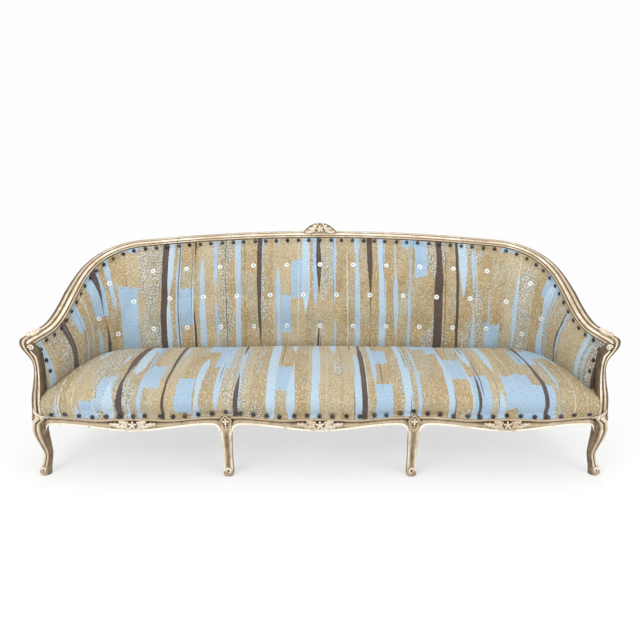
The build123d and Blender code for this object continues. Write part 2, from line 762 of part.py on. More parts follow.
def glue_block(x, side):
    """Triangular block in the corner between the front rail and a leg."""
    face = FRONT + BOARD_BACK
    with BuildSketch(Plane.XY.offset(block_low)) as triangle:
        with BuildLine():
            Polyline((x, face), (x + side * BLOCK_LEG, face), (x, face + BLOCK_DEPTH), close=True)
        make_face()
    extrude(triangle.sketch, amount=BLOCK_HEIGHT)


def block_screw(x, side):
    """Screw through a glue block into the front rail."""
    face = FRONT + BOARD_BACK
    across = x + side * BLOCK_LEG * 0.4
    head = Plane(origin=(across, face + BLOCK_DEPTH / 2, block_low + BLOCK_HEIGHT / 2), z_dir=(0, -1, 0))
    with BuildSketch(head) as cap:
        Circle(SCREW_HEAD_RADIUS)
    extrude(cap.sketch, amount=SCREW_HEAD_DEPTH)
    with BuildSketch(head) as shank:
        Circle(SCREW_RADIUS)
    extrude(shank.sketch, amount=BLOCK_DEPTH / 2 + SCREW_BITE)


# Glue blocks behind the front rail, each with its screw
block_low = (RAIL_TOP + RAIL_BOTTOM - BLOCK_HEIGHT) / 2
block_corners = [
    (side * x, side * way)
    for side in (-1, 1)
    for x, way in ((LEG_FACE, 1), (2 * LEG_SPACING - LEG_FACE, -1), (CORNER_POST_FACE, -1))
]
with BuildPart() as block_screws:
    for x, way in block_corners:
        block_screw(x, way)
with BuildPart() as glue_blocks:
    for x, way in block_corners:
        glue_block(x, way)
    add(block_screws.part, mode=Mode.SUBTRACT)
save(block_screws.part, "block_screws")
save(glue_blocks.part, "glue_blocks")
with BuildPart() as front_rail_centre_bored:
    add(front_rail_centre.part)
    add(block_screws.part, mode=Mode.SUBTRACT)
with BuildPart() as front_rail_side_bored:
    add(front_rail_side.part)
    add(block_screws.part, mode=Mode.SUBTRACT)
save(front_rail_centre_bored.part, "front_rail_centre")
save_pair(front_rail_side_bored.part, "front_rail")

# Webbing under the seat rails: straps from front to back, and long straps below them
web_front = FRONT + BOARD_BACK / 2 + WEB_GAP
with BuildSketch(Plane.XY.offset(RAIL_BOTTOM - WEB_THICK)) as cross_straps:
    add(seat_plan(-(BACK_RAIL_IN + BACK_RAIL_THICK / 2), web_front))
    columns = [-x for x in reversed(SPRING_COLUMNS)] + list(SPRING_COLUMNS)
    edges = [-2 * WRAP_END] + columns + [2 * WRAP_END]
    for left, right in zip(edges, edges[1:]):
        gap = right - left - WEB_WIDTH
        with Locations(((left + right) / 2, 0)):
            Rectangle(gap, 2 * SEAM_DEPTH, mode=Mode.SUBTRACT)
with BuildPart() as seat_webbing_cross:
    extrude(cross_straps.sketch, amount=WEB_THICK)
save(seat_webbing_cross.part, "seat_webbing_cross")

with BuildSketch(Plane.XY.offset(RAIL_BOTTOM - 2 * WEB_THICK)) as long_straps:
    add(seat_plan(-(BACK_RAIL_IN + BACK_RAIL_THICK / 2), web_front))
    rows = [-SEAM_DEPTH, *SPRING_ROWS, 2 * SEAM_DEPTH]
    for near, far in zip(rows, rows[1:]):
        gap = far - near - WEB_WIDTH
        with Locations((0, FRONT + (near + far) / 2)):
            Rectangle(4 * WRAP_END, gap, mode=Mode.SUBTRACT)
with BuildPart() as seat_webbing_long:
    extrude(long_straps.sketch, amount=WEB_THICK)
save(seat_webbing_long.part, "seat_webbing_long")

# Coil springs stand where the straps cross
coil_rise = HESSIAN_HEIGHT - RAIL_BOTTOM - SPRING_WIRE * 1.5
coil_points = []
for step in range(SPRING_TURNS * SPRING_SIDES + 1):
    angle = 2 * math.pi * step / SPRING_SIDES
    height = SPRING_WIRE * 0.75 + coil_rise * step / (SPRING_TURNS * SPRING_SIDES)
    coil_points.append((SPRING_RADIUS * math.cos(angle), SPRING_RADIUS * math.sin(angle), height))
with BuildPart() as coil:
    with BuildLine() as coil_path:
        Polyline(*coil_points)
    with BuildSketch(Plane(origin=coil_path.line @ 0, z_dir=coil_path.line % 0)):
        Rectangle(SPRING_WIRE, SPRING_WIRE)
    sweep(path=coil_path.line, transition=Transition.RIGHT)
with BuildPart() as seat_springs:
    with Locations([(x, FRONT + y, RAIL_BOTTOM) for x in columns for y in SPRING_ROWS]):
        add(coil.part)
save(seat_springs.part, "seat_springs")

pocket_front = FRONT + BOARD_BACK + BLOCK_DEPTH
with BuildPart() as spring_hessian:
    extrude(seat_plan(POCKET_INSET + SEAT_CLEARANCE, pocket_front + SEAT_CLEARANCE), amount=HESSIAN_THICK)
save(Pos(0, 0, HESSIAN_HEIGHT) * spring_hessian.part, "spring_hessian")


def seat_section(x):
    """Section of the seat: an apron over the board, a rolled front edge and a crowned top."""
    drop = SEAT_END_DROP * (x / WRAP_END) ** 2
    face = FRONT + BOARD_FRONT - APRON_THICK
    roll_back = (FRONT + SEAT_ROLL_DEPTH, SEAT_ROLL_TOP - drop)
    with BuildSketch(Plane.YZ.offset(x)) as section:
        with BuildLine():
            under = Polyline(
                (SEAM_Y, RAIL_TOP),
                (FRONT + BOARD_FRONT, RAIL_TOP),
                (FRONT + BOARD_FRONT, SHOW_TOP),
                (face, SHOW_TOP),
                (face, SHOW_TOP + NAIL_BAND),
            )
            roll_mid = (face - SEAT_ROLL_REACH, (SHOW_TOP + NAIL_BAND + SEAT_ROLL_TOP) / 2)
            roll = ThreePointArc(under @ 1, roll_mid, roll_back)
            crown_mid = ((roll_back[0] + SEAM_Y) / 2, SEAT_ROLL_TOP + SEAT_CROWN - drop)
            crown = ThreePointArc(roll @ 1, crown_mid, (SEAM_Y, SEAM_HEIGHT - drop))
            Line(crown @ 1, under @ 0)
        make_face()
    return section.sketch


seat_half = CORNER_LEG_X
with BuildPart() as seat_pad:
    loft(sections=[seat_section(x) for x in spread(-seat_half, seat_half, 5)])
    extrude(seat_plan(SEAT_CLEARANCE, 2 * FRONT), amount=BACK_HEIGHT, mode=Mode.INTERSECT)
    extrude(
        Plane.XY.offset(RAIL_TOP) * seat_plan(POCKET_INSET, pocket_front),
        amount=HESSIAN_HEIGHT + HESSIAN_THICK - RAIL_TOP,
        mode=Mode.SUBTRACT,
    )
    add(front_mid_leg.part, mode=Mode.SUBTRACT)
    add(mirror(front_mid_leg.part, about=Plane.YZ), mode=Mode.SUBTRACT)
save(seat_pad.part, "seat_pad")

with BuildPart() as inside_back:
    loft(sections=[pad_section(s) for s in spread(-BOW_LENGTH, BOW_LENGTH, 7)])
    with places_on([tuft_plane(*place) for place in tuft_places(-BOW_LENGTH, BOW_LENGTH)]):
        add(dimple.part, mode=Mode.SUBTRACT)
save(inside_back.part, "inside_back")

arm_trim = STUMP_BACK_Y + NAIL_GAP
with BuildPart() as inside_arm:
    loft(sections=[pad_section(s) for s in spread(BOW_LENGTH, WRAP_END - PAD_END_GAP, 13)])
    split(bisect_by=behind(arm_trim), keep=Keep.TOP)
    with places_on([tuft_plane(*place) for place in tuft_places(BOW_LENGTH, WRAP_END)]):
        add(dimple.part, mode=Mode.SUBTRACT)
save_pair(inside_arm.part, "inside_arm")

# Upright straps behind the inside back, from the lower rail to the top rail
with BuildPart() as back_webbing:
    for s in [-place for place in BACK_WEBS[1:]] + list(BACK_WEBS):
        with BuildSketch(wall_plane(s).offset(-WEB_WIDTH / 2)):
            Polygon(
                (PAD_BACK + WEB_GAP, TACK_RAIL_BOTTOM),
                (POST_FRONT - WEB_GAP, TACK_RAIL_BOTTOM),
                (POST_FRONT - WEB_GAP, SEAM_HEIGHT),
                (POST_FRONT - WEB_GAP + lean(s, rail_z(s) - PAD_GAP), rail_z(s) - PAD_GAP),
                (PAD_BACK + WEB_GAP + lean(s, rail_z(s) - PAD_GAP), rail_z(s) - PAD_GAP),
                (PAD_BACK + WEB_GAP, SEAM_HEIGHT),
                align=None,
            )
        extrude(amount=WEB_WIDTH)
save(back_webbing.part, "back_webbing")

with BuildPart() as outside_back:
    loft(sections=[cover_section(s) for s in spread(-BOW_LENGTH, BOW_LENGTH, 7)])
save(outside_back.part, "outside_back")

with BuildPart() as outside_arm:
    loft(sections=[cover_section(s) for s in spread(BOW_LENGTH, WRAP_END - PAD_END_GAP, 13)])
    split(bisect_by=behind(STUMP_BACK_Y + CORNER_POST_DEPTH / 2), keep=Keep.TOP)
save_pair(outside_arm.part, "outside_arm")

# Dust cover under the webbing, notched round the front legs
with BuildSketch(Plane.XY.offset(RAIL_BOTTOM - 2 * WEB_THICK - DUST_THICK)) as dust_outline:
    add(seat_plan(-BACK_RAIL_IN, web_front))
    notch = 2 * (LEG_POST_DEPTH + WEB_GAP)
    for side in (-1, 1):
        with Locations((side * LEG_SPACING, FRONT)):
            Rectangle(LEG_HEAD_WIDTH + notch / 10, notch, mode=Mode.SUBTRACT)
        with Locations((side * CORNER_LEG_X, FRONT)):
            Rectangle(2 * LEG_EAR, notch + CORNER_POST_DEPTH / 2, mode=Mode.SUBTRACT)
with BuildPart() as dust_cover:
    extrude(dust_outline.sketch, amount=DUST_THICK)
save(dust_cover.part, "dust_cover")

# Buttons sit on the floors of the tufts
with BuildPart() as tuft_buttons:
    with places_on([tuft_plane(*place).offset(-TUFT_DEPTH) for place in tuft_places(-WRAP_END, WRAP_END)]):
        add(button.part)
save(tuft_buttons.part, "tuft_buttons")


def nail_height(x):
    """Height of the front nail line, which hops over the heads of the middle legs."""
    apart = abs(abs(x) - LEG_SPACING)
    return SHOW_TOP + NAIL_LIFT + NAIL_HOP * smooth(1.6 - apart / (1.5 * LEG_HEAD_WIDTH / 2))


nail_face = FRONT + BOARD_FRONT - APRON_THICK - NAIL_GAP
front_nail_x = spread(-FRONT_NAIL_REACH, FRONT_NAIL_REACH, 2 * int(FRONT_NAIL_REACH / NAIL_SPACING) + 1)
with BuildPart() as front_nails:
    with places_on([Plane(origin=(x, nail_face, nail_height(x)), z_dir=(0, -1, 0)) for x in front_nail_x]):
        add(nail.part)
save(front_nails.part, "front_nails")


def edge_spot(s):
    """Point on the strip under the top rail that the nails go through."""
    height = rail_z(s) - NAIL_DROP * rail_stretch(s)
    return wall_plane(s).from_local_coords((flare(s), height, 0))


def edge_plane(s):
    """Plane for a nail in that strip, square to it."""
    along = edge_spot(s + 1) - edge_spot(s - 1)
    aim = Vector(along.Y, -along.X, 0).normalized()
    return Plane(origin=edge_spot(s) + aim * NAIL_GAP, z_dir=aim)


edge_places = [0.0]
while edge_places[-1] < HAND_END - NAIL_SPACING:
    reach = (edge_spot(edge_places[-1] + 1) - edge_spot(edge_places[-1])).length
    edge_places.append(edge_places[-1] + NAIL_SPACING / reach)
back_places = [s for s in edge_places if s < BOW_LENGTH]
with BuildPart() as back_nails:
    with places_on([edge_plane(s) for s in [-s for s in back_places[1:]] + back_places]):
        add(nail.part)
save(back_nails.part, "back_nails")

stump_nail_run = (corner_arc @ 1).Y - arm_trim - STUMP_NAIL_INSET
stump_nail_s = CORNER_END + stump_nail_run / math.cos(math.radians(SIDE_SPLAY))
arm_planes = [edge_plane(s) for s in edge_places if BOW_LENGTH <= s < stump_nail_s - NAIL_SPACING / 2]
nail_level = rail_z(stump_nail_s) - NAIL_STRIP - NAIL_RADIUS
while nail_level > SEAM_HEIGHT + NAIL_SPACING / 2:
    arm_planes.append(tuft_plane(stump_nail_s, nail_level).offset(NAIL_GAP))
    nail_level -= STUMP_NAIL_SPACING
with BuildPart() as arm_nails:
    with places_on(arm_planes):
        add(nail.part)
save_pair(arm_nails.part, "arm_nails")
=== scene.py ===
"""Carved wood sofa: the dressed model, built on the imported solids, with its studio and camera."""

import json
import logging
import math
import random
from collections.abc import Iterator, Sequence
from dataclasses import dataclass
from enum import Enum

import bmesh
import bpy
from bpy.types import Material, Mesh, Node, NodeSocket, NodeTree, Object
from mathutils import Matrix, Vector, noise


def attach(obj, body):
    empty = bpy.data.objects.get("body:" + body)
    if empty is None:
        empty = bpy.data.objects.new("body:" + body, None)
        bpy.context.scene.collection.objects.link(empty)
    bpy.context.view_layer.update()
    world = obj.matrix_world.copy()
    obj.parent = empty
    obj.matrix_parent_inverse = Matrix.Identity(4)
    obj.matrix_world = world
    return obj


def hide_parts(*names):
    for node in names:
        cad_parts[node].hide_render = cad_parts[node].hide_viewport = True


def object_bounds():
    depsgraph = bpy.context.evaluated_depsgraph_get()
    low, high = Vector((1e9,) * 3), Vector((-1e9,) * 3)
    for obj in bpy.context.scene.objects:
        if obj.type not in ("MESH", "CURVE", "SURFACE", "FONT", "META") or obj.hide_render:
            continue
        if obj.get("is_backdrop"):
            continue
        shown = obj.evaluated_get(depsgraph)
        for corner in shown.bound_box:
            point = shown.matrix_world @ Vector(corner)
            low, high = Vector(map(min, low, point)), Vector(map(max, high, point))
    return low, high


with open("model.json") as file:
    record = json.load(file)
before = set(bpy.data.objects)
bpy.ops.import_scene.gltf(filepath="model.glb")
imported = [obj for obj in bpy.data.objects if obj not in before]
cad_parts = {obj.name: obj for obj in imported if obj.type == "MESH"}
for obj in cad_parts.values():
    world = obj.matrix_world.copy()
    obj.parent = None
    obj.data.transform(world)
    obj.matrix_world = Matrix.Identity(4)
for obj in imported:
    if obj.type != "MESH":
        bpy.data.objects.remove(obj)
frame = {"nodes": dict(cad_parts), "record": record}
CAD_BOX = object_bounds()

log = logging.getLogger("sofa")

Triple = tuple[float, float, float]
Rgb = Triple
Section = tuple[float, float, float, float]

# Distance from the sofa's middle to the front middle legs, the end of a side bay and the corner legs.
LEG_X = 0.383
BAY_X = 1.140
POST_X = 1.150

# Spans of the front rail's bays, and the height of its top edge from a bay's middle to its end.
BAY_ENDS = (-BAY_X, -LEG_X, LEG_X, BAY_X)
SHOW_LINE = (0.270, 0.268, 0.265, 0.271, 0.278, 0.278)

# Step along the wall over which slopes are measured.
STEP = 0.001


class Side(Enum):
    """The two mirror-image sides of the sofa, as the sign of X."""

    LEFT = -1
    RIGHT = 1


class Weave(Enum):
    """Plain cloths of the inside and the underside, as the pitch of their threads in metres."""

    JUTE = 0.004
    HESSIAN = 0.003
    BOTTOMING = 0.002


def tone(red: int, green: int, blue: int) -> Rgb:
    """Turn a colour of 0 to 255 as seen on a screen into the linear values that shaders use."""
    return tuple(((c / 255 + 0.055) / 1.055) ** 2.4 for c in (red, green, blue))


def smooth(share: float) -> float:
    """Ease from 0 to 1."""
    share = min(max(share, 0.0), 1.0)
    return share * share * (3 - 2 * share)


def spread(first: float, last: float, count: int) -> list[float]:
    """Evenly spaced values from first to last."""
    return [first + (last - first) * step / (count - 1) for step in range(count)]


def spline(knots: Sequence[float], values: Sequence[float], at: float) -> float:
    """Smooth curve through values at rising knots.

    Args:
        knots: places of the values, in rising order.
        values: what the curve passes through.
        at: the place to read.

    Returns:
        The curve's value there, held at the ends.
    """
    if at <= knots[0]:
        return values[0]
    if at >= knots[-1]:
        return values[-1]
    i = max(k for k in range(len(knots) - 1) if knots[k] <= at)

    def slope(k: int) -> float:
        """Slope of the curve at one knot."""
        low, high = max(k - 1, 0), min(k + 1, len(knots) - 1)
        return (values[high] - values[low]) / (knots[high] - knots[low])

    span = knots[i + 1] - knots[i]
    t = (at - knots[i]) / span
    return (
        values[i] * (2 * t**3 - 3 * t**2 + 1)
        + slope(i) * span * (t**3 - 2 * t**2 + t)
        + values[i + 1] * (3 * t**2 - 2 * t**3)
        + slope(i + 1) * span * (t**3 - t**2)
    )


def bend(start: Vector, middle: Vector, end: Vector, t: float) -> Vector:
    """Point of a quadratic curve whose control point is middle."""
    return start * (1 - t) ** 2 + middle * (2 * t * (1 - t)) + end * t**2


def arc(start: Sequence[float], middle: Sequence[float], end: Sequence[float], count: int) -> list:
    """Points of a quadratic curve that passes through middle half way."""
    control = [2 * m - (a + b) / 2 for a, m, b in zip(start, middle, end)]
    knots = list(zip(start, control, end))
    points = []
    for t in spread(0.0, 1.0, count):
        points.append([a * (1 - t) ** 2 + c * 2 * t * (1 - t) + b * t * t for a, c, b in knots])
    return points


def section_at(sections: Sequence[tuple[float, ...]], level: float) -> tuple[float, ...]:
    """Read a table of sections, whose first column rises, at a level between its rows."""
    levels, *columns = zip(*sections)
    return tuple(spline(levels, column, level) for column in columns)


def ring(side: Vector, up: Vector, count: int) -> list[Vector]:
    """Directions evenly round a circle, from side towards up."""
    turns = [2 * math.pi * k / count for k in range(count)]
    return [side * math.cos(a) + up * math.sin(a) for a in turns]


def add_node(tree: NodeTree, kind: str, settings: dict, sockets: dict) -> Node:
    """Add one node to a tree.

    Args:
        tree: the tree.
        kind: the node's type.
        settings: properties to set first.
        sockets: values or links, by socket number, name or identifier.

    Returns:
        The new node.
    """
    node = tree.nodes.new(kind)
    for key, value in settings.items():
        setattr(node, key, value)
    for key, value in sockets.items():
        found = [s for s in node.inputs if s.enabled and key in (s.name, s.identifier)]
        socket = node.inputs[key] if isinstance(key, int) else found[0]
        if isinstance(value, NodeSocket):
            tree.links.new(value, socket)
        elif socket.type == "RGBA":
            socket.default_value = (*value, 1.0)
        else:
            socket.default_value = value
    return node


class Shade:
    """One value in a finish; arithmetic on it adds Math nodes."""

    def __init__(self, bench: "Bench", socket: NodeSocket) -> None:
        """Keep the socket and the bench that it lies on."""
        self.bench = bench
        self.socket = socket

    def _math(self, operation: str, first: "Shade | float", second: "Shade | float" = 0.0) -> "Shade":
        """Add one Math node."""
        return self.bench.value("ShaderNodeMath", {"operation": operation}, {0: first, 1: second})

    def __add__(self, other: "Shade | float") -> "Shade":
        """Sum of two values."""
        return self._math("ADD", self, other)

    __radd__ = __add__

    def __sub__(self, other: "Shade | float") -> "Shade":
        """Difference of two values."""
        return self._math("SUBTRACT", self, other)

    def __rsub__(self, other: float) -> "Shade":
        """A number less this value."""
        return self._math("SUBTRACT", other, self)

    def __mul__(self, other: "Shade | float") -> "Shade":
        """Product of two values."""
        return self._math("MULTIPLY", self, other)

    def above(self, limit: float) -> "Shade":
        """1 where the value is over a limit."""
        return self._math("GREATER_THAN", self, limit)

    def most(self, other: "Shade | float") -> "Shade":
        """The smaller of two values."""
        return self._math("MINIMUM", self, other)

    def wave(self) -> "Shade":
        """Sine of the value."""
        return self._math("SINE", self)

    def ease(self, low: float, high: float) -> "Shade":
        """Smooth rise from 0 at low to 1 at high."""
        return self.bench.value(
            "ShaderNodeMapRange",
            {"interpolation_type": "SMOOTHSTEP"},
            {"Value": self, "From Min": low, "From Max": high},
        )


class Bench:
    """The node tree of one finish, with short ways to add what the finishes share."""

    def __init__(self, name: str) -> None:
        """Start an empty material."""
        self.material = bpy.data.materials.new(name)
        self.material.use_nodes = True
        self.tree = self.material.node_tree
        self.tree.nodes.clear()

    def node(self, kind: str, settings: dict | None = None, sockets: dict | None = None) -> Node:
        """Add one node, whose sockets may take values of the finish."""
        wired = dict(sockets or {})
        for key, value in wired.items():
            if isinstance(value, Shade):
                wired[key] = value.socket
        return add_node(self.tree, kind, settings or {}, wired)

    def value(self, kind: str, settings: dict, sockets: dict, output: int | str = 0) -> Shade:
        """Add a node and take one of its outputs as a value."""
        return Shade(self, self.node(kind, settings, sockets).outputs[output])

    def mix(
        self, share: Shade | float, first: Rgb | Shade, second: Rgb | Shade, blend: str = "MIX"
    ) -> Shade:
        """Mix two colours."""
        node = self.node(
            "ShaderNodeMix",
            {"data_type": "RGBA", "blend_type": blend},
            {"Factor_Float": share, "A_Color": first, "B_Color": second},
        )
        return Shade(self, [s for s in node.outputs if s.identifier == "Result_Color"][0])

    def tint(self, colour: Rgb | Shade, amount: Shade) -> Shade:
        """Brighten or darken a colour by a factor."""
        grey = self.value("ShaderNodeCombineColor", {}, {0: amount, 1: amount, 2: amount})
        return self.mix(1.0, colour, grey, "MULTIPLY")

    def join(self, x: Shade | float, y: Shade | float, z: Shade | float = 0.0) -> Shade:
        """Make a place out of its parts."""
        return self.value("ShaderNodeCombineXYZ", {}, {0: x, 1: y, 2: z})

    def parts(self, vector: Shade) -> tuple[Shade, Shade, Shade]:
        """Split a place into its parts."""
        node = self.node("ShaderNodeSeparateXYZ", {}, {0: vector})
        return tuple(Shade(self, socket) for socket in node.outputs)

    def place(self) -> Shade:
        """The place on the piece, in metres."""
        return self.value("ShaderNodeTexCoord", {}, {}, "Object")

    def noise(self, vector: Shade, scale: float, detail: float = 2.0) -> Shade:
        """Soft random value between 0 and 1."""
        return self.value("ShaderNodeTexNoise", {}, {"Vector": vector, "Scale": scale, "Detail": detail})

    def done(self, bump: Shade | None, rise: float, **sockets: object) -> Material:
        """Close the finish with one principled shader.

        Args:
            bump: height of the surface's fine texture, if any.
            rise: that texture's depth in metres.
            sockets: the shader's values, with spaces in their names written as underscores.

        Returns:
            The material.
        """
        wired = {key.replace("_", " "): value for key, value in sockets.items()}
        if bump is not None:
            wired["Normal"] = self.value(
                "ShaderNodeBump", {}, {"Height": bump, "Strength": 1.0, "Distance": rise}
            )
        shader = self.node("ShaderNodeBsdfPrincipled", {}, wired)
        self.node("ShaderNodeOutputMaterial", {}, {"Surface": shader.outputs[0]})
        return self.material


@dataclass(frozen=True)
class CarvedPaint:
    """Old cream and gold paint on carved wood: cream on the edges, partly wear and partly painted
    highlight, and dark in the hollows.
    """

    hollow: Rgb = tone(70, 54, 40)
    shadow: Rgb = tone(116, 96, 74)
    gold: Rgb = tone(183, 163, 133)
    cream: Rgb = tone(233, 225, 208)

    def make(self, name: str) -> Material:
        """Build the finish; the relief attribute is 0 in a hollow and 1 on a crest, and low on faces turned
        from the light as painted shade.
        """
        bench = Bench(name)
        place = bench.place()
        relief = bench.value("ShaderNodeAttribute", {"attribute_name": "relief"}, {}, "Fac")
        broad = bench.noise(place, 7.0, 3.0)
        patch = bench.noise(place, 38.0, 4.0)
        grain = bench.noise(place, 260.0, 3.0)
        height = relief + (patch - 0.5) * 0.55 + (grain - 0.5) * 0.4
        colour = bench.mix(height.ease(0.02, 0.36), self.hollow, self.shadow)
        colour = bench.mix(height.ease(0.26, 0.62), colour, self.gold)
        # Cream on the crests and beads: partly wear, partly painted highlight.
        bright = (height + (broad - 0.5) * 1.1).ease(0.69, 1.11)
        colour = bench.mix(bright, colour, self.cream)
        chip = (grain * 0.6 + patch * 0.6).ease(0.7, 0.78)
        colour = bench.mix(chip * 0.75, colour, self.hollow)
        return bench.done(
            patch * 0.6 + grain * 0.4,
            0.0012,
            Base_Color=colour,
            Roughness=0.5 + chip * 0.25 - bright * 0.08,
            Specular_IOR_Level=0.4,
        )


@dataclass(frozen=True)
class PlainWood:
    """Wood that is only planed, with long grain along one axis."""

    light: Rgb
    dark: Rgb
    along: Triple = (1.0, 14.0, 14.0)

    def make(self, name: str) -> Material:
        """Build the finish."""
        bench = Bench(name)
        x, y, z = bench.parts(bench.place())
        stretched = bench.join(x * self.along[0], y * self.along[1], z * self.along[2])
        figure = bench.noise(stretched, 9.0, 5.0)
        pores = bench.noise(stretched, 46.0, 2.0)
        colour = bench.mix((figure * 0.7 + pores * 0.3).ease(0.3, 0.7), self.dark, self.light)
        return bench.done(figure + pores * 0.5, 0.0008, Base_Color=colour, Roughness=0.55 + pores * 0.2)


@dataclass(frozen=True)
class StripedCloth:
    """Woven cover: a flecked tan ground with uneven blue, brown and scrolled strips."""

    ground: Rgb = tone(171, 149, 109)
    pale: Rgb = tone(197, 184, 155)
    umber: Rgb = tone(137, 116, 81)
    mist: Rgb = tone(172, 180, 172)
    blue: Rgb = tone(162, 187, 208)
    sky: Rgb = tone(184, 204, 218)
    brown: Rgb = tone(84, 70, 64)
    white: Rgb = tone(214, 219, 214)
    olive: Rgb = tone(132, 122, 90)
    warp: float = 0.0022
    weft: float = 0.0030
    shift: float = 0.0

    def strips(
        self,
        bench: Bench,
        across: Shade,
        along: Shade,
        pitch: float,
        seed: float,
        widths: tuple[float, float],
        chosen: float,
        thin: float,
        pace: float,
    ) -> tuple[Shade, Shade]:
        """Torn strips that run along the cloth, each with its own width, which end in points.

        Args:
            bench: the finish's nodes.
            across: distance across the cloth, in metres.
            along: distance along the strips, in metres.
            pitch: strips to a metre.
            seed: which set of strips.
            widths: least and greatest half width, in metres.
            chosen: share of the strips that are drawn.
            thin: how much of a strip's length is left out, from 0.2 for little to 0.6 for most.
            pace: how often a strip swells and thins, to a metre.

        Returns:
            Where the strips are, and a random value for each.
        """
        cell = bench.node(
            "ShaderNodeTexVoronoi",
            {"voronoi_dimensions": "1D"},
            {"W": across + seed, "Scale": pitch, "Randomness": 0.85},
        )
        luck, odds, _ = bench.parts(Shade(bench, cell.outputs["Color"]))
        distance = Shade(bench, cell.outputs["Distance"]) * (1 / pitch)
        swell = bench.noise(bench.join(luck * 37.0, along * pace, seed), 1.0, 1.0)
        fray = bench.noise(bench.join(across * 20.0, along * 5.0, seed), 9.0, 3.0)
        half = luck * (widths[1] - widths[0]) + widths[0]
        half = half * ((swell - thin) * 7.0).most(1.0)
        half = half + (fray - 0.5) * (0.1 * widths[1] + 0.002) - odds.above(chosen)
        return (half - distance).ease(-0.0006, 0.0012), luck

    def scraps(self, bench: Bench, across: Shade, along: Shade) -> Shade:
        """Scattered blocks, longer than they are wide, with blunt torn ends."""
        fray = bench.noise(bench.join(across * 30.0, along * 12.0, 5.0), 2.0, 3.0) - 0.5
        cell = bench.node(
            "ShaderNodeTexVoronoi",
            {"voronoi_dimensions": "1D"},
            {"W": across + fray * 0.008 + 5.4, "Scale": 15.0, "Randomness": 0.8},
        )
        luck, odds, _ = bench.parts(Shade(bench, cell.outputs["Color"]))
        run = along * 5.5 + luck * 9.0 + fray * 0.35
        step = bench.value("ShaderNodeMath", {"operation": "FLOOR"}, {0: run})
        block = bench.value(
            "ShaderNodeTexWhiteNoise",
            {"noise_dimensions": "2D"},
            {"Vector": bench.join(odds * 31.0, step)},
            "Value",
        )
        return block.above(0.89)

    def scrolls(self, bench: Bench, across: Shade, along: Shade) -> tuple[Shade, Shade]:
        """Rows of curling scrolls, as lines and as filled curls."""
        place = bench.join(across * 33.0, along * 30.0, self.shift)
        cell = bench.node(
            "ShaderNodeTexVoronoi", {"voronoi_dimensions": "2D"}, {"Vector": place, "Scale": 1.0}
        )
        offset = bench.node(
            "ShaderNodeVectorMath",
            {"operation": "SUBTRACT"},
            {0: place, 1: cell.outputs["Position"]},
        )
        x, y, _ = bench.parts(Shade(bench, offset.outputs[0]))
        angle = bench.value("ShaderNodeMath", {"operation": "ARCTAN2"}, {0: y, 1: x})
        luck, _, _ = bench.parts(Shade(bench, cell.outputs["Color"]))
        reach = Shade(bench, cell.outputs["Distance"])
        curl = (angle + reach * 15.0 + luck * 6.3).wave()
        fronds = (angle * 5.0 - reach * 9.0).wave() * reach.ease(0.3, 0.5)
        line = (curl + fronds * 0.6).ease(0.3, 0.7)
        return line, reach.ease(0.5, 0.15) * line

    def make(self, name: str) -> Material:
        """Build the finish on the piece's own cloth coordinates, in metres."""
        bench = Bench(name)
        weave = bench.value("ShaderNodeUVMap", {"uv_map": "weave"}, {})
        u, v, _ = bench.parts(weave)
        drift = bench.noise(bench.join(u * 2.0, v * 0.9, self.shift), 1.6, 1.0) - 0.5
        across = u + drift * 0.035 + self.shift
        fleck = bench.noise(bench.join(u, v * 0.7, 1.0), 165.0, 2.0)
        grain = bench.noise(bench.join(u * 3.0, v * 0.7, 2.0), 42.0, 3.0)
        blotch = bench.noise(bench.join(u, v * 0.5, 4.0), 16.0, 3.0)
        tan = fleck * 0.5 + grain * 0.3 + blotch * 0.2
        colour = bench.mix(tan.ease(0.46, 0.64), self.ground, self.pale)
        colour = bench.mix(tan.ease(0.48, 0.34) * 0.8, colour, self.umber)
        misty = bench.noise(bench.join(u * 1.6, v * 0.8, 7.0), 5.0, 3.0).ease(0.44, 0.66)
        colour = bench.mix(misty * (grain.ease(0.4, 0.6) * 0.35 + 0.2), colour, self.mist)
        faded, _ = self.strips(
            bench, across, v, pitch=3.4, seed=7.7, widths=(0.03, 0.09), chosen=0.5, thin=0.25, pace=1.5
        )
        colour = bench.mix(faded * 0.4, colour, self.pale)
        patch, _ = self.strips(
            bench, across, v, pitch=3.7, seed=2.3, widths=(0.03, 0.075), chosen=0.82, thin=0.38, pace=3.0
        )
        line, curl = self.scrolls(bench, u, v)
        colour = bench.mix(patch * blotch.ease(0.35, 0.6) * 0.45, colour, self.olive)
        colour = bench.mix(patch * line * (blotch.ease(0.3, 0.55) * 0.5 + 0.3), colour, self.sky)
        colour = bench.mix(patch * curl * 0.6, colour, self.white)
        sheet = self.scraps(bench, across, v)
        colour = bench.mix(sheet * (1 - line * patch * 0.6), colour, self.blue)
        strip, luck = self.strips(
            bench, across, v, pitch=10.5, seed=4.9, widths=(0.006, 0.022), chosen=0.82, thin=0.39, pace=2.8
        )
        colour = bench.mix(strip, colour, bench.mix(luck, self.blue, self.sky))
        stripe, _ = self.strips(
            bench, across, v, pitch=3.9, seed=9.1, widths=(0.005, 0.022), chosen=0.62, thin=0.34, pace=1.7
        )
        colour = bench.mix(stripe * (fleck.ease(0.25, 0.5) * 0.25 + 0.75), colour, self.brown)
        thread, _ = self.strips(
            bench, across, v, pitch=7.4, seed=6.6, widths=(0.001, 0.0032), chosen=0.6, thin=0.42, pace=3.0
        )
        colour = bench.mix(thread * 0.85, colour, self.brown)
        yarn, _ = self.strips(
            bench, across, v, pitch=9.6, seed=3.8, widths=(0.0008, 0.0026), chosen=0.5, thin=0.4, pace=2.0
        )
        colour = bench.mix(yarn * 0.8, colour, self.white)
        colour = bench.tint(colour, 0.64 + fleck * 0.7)
        warp = (u * (2 * math.pi / self.warp)).wave()
        weft = (v * (2 * math.pi / self.weft)).wave()
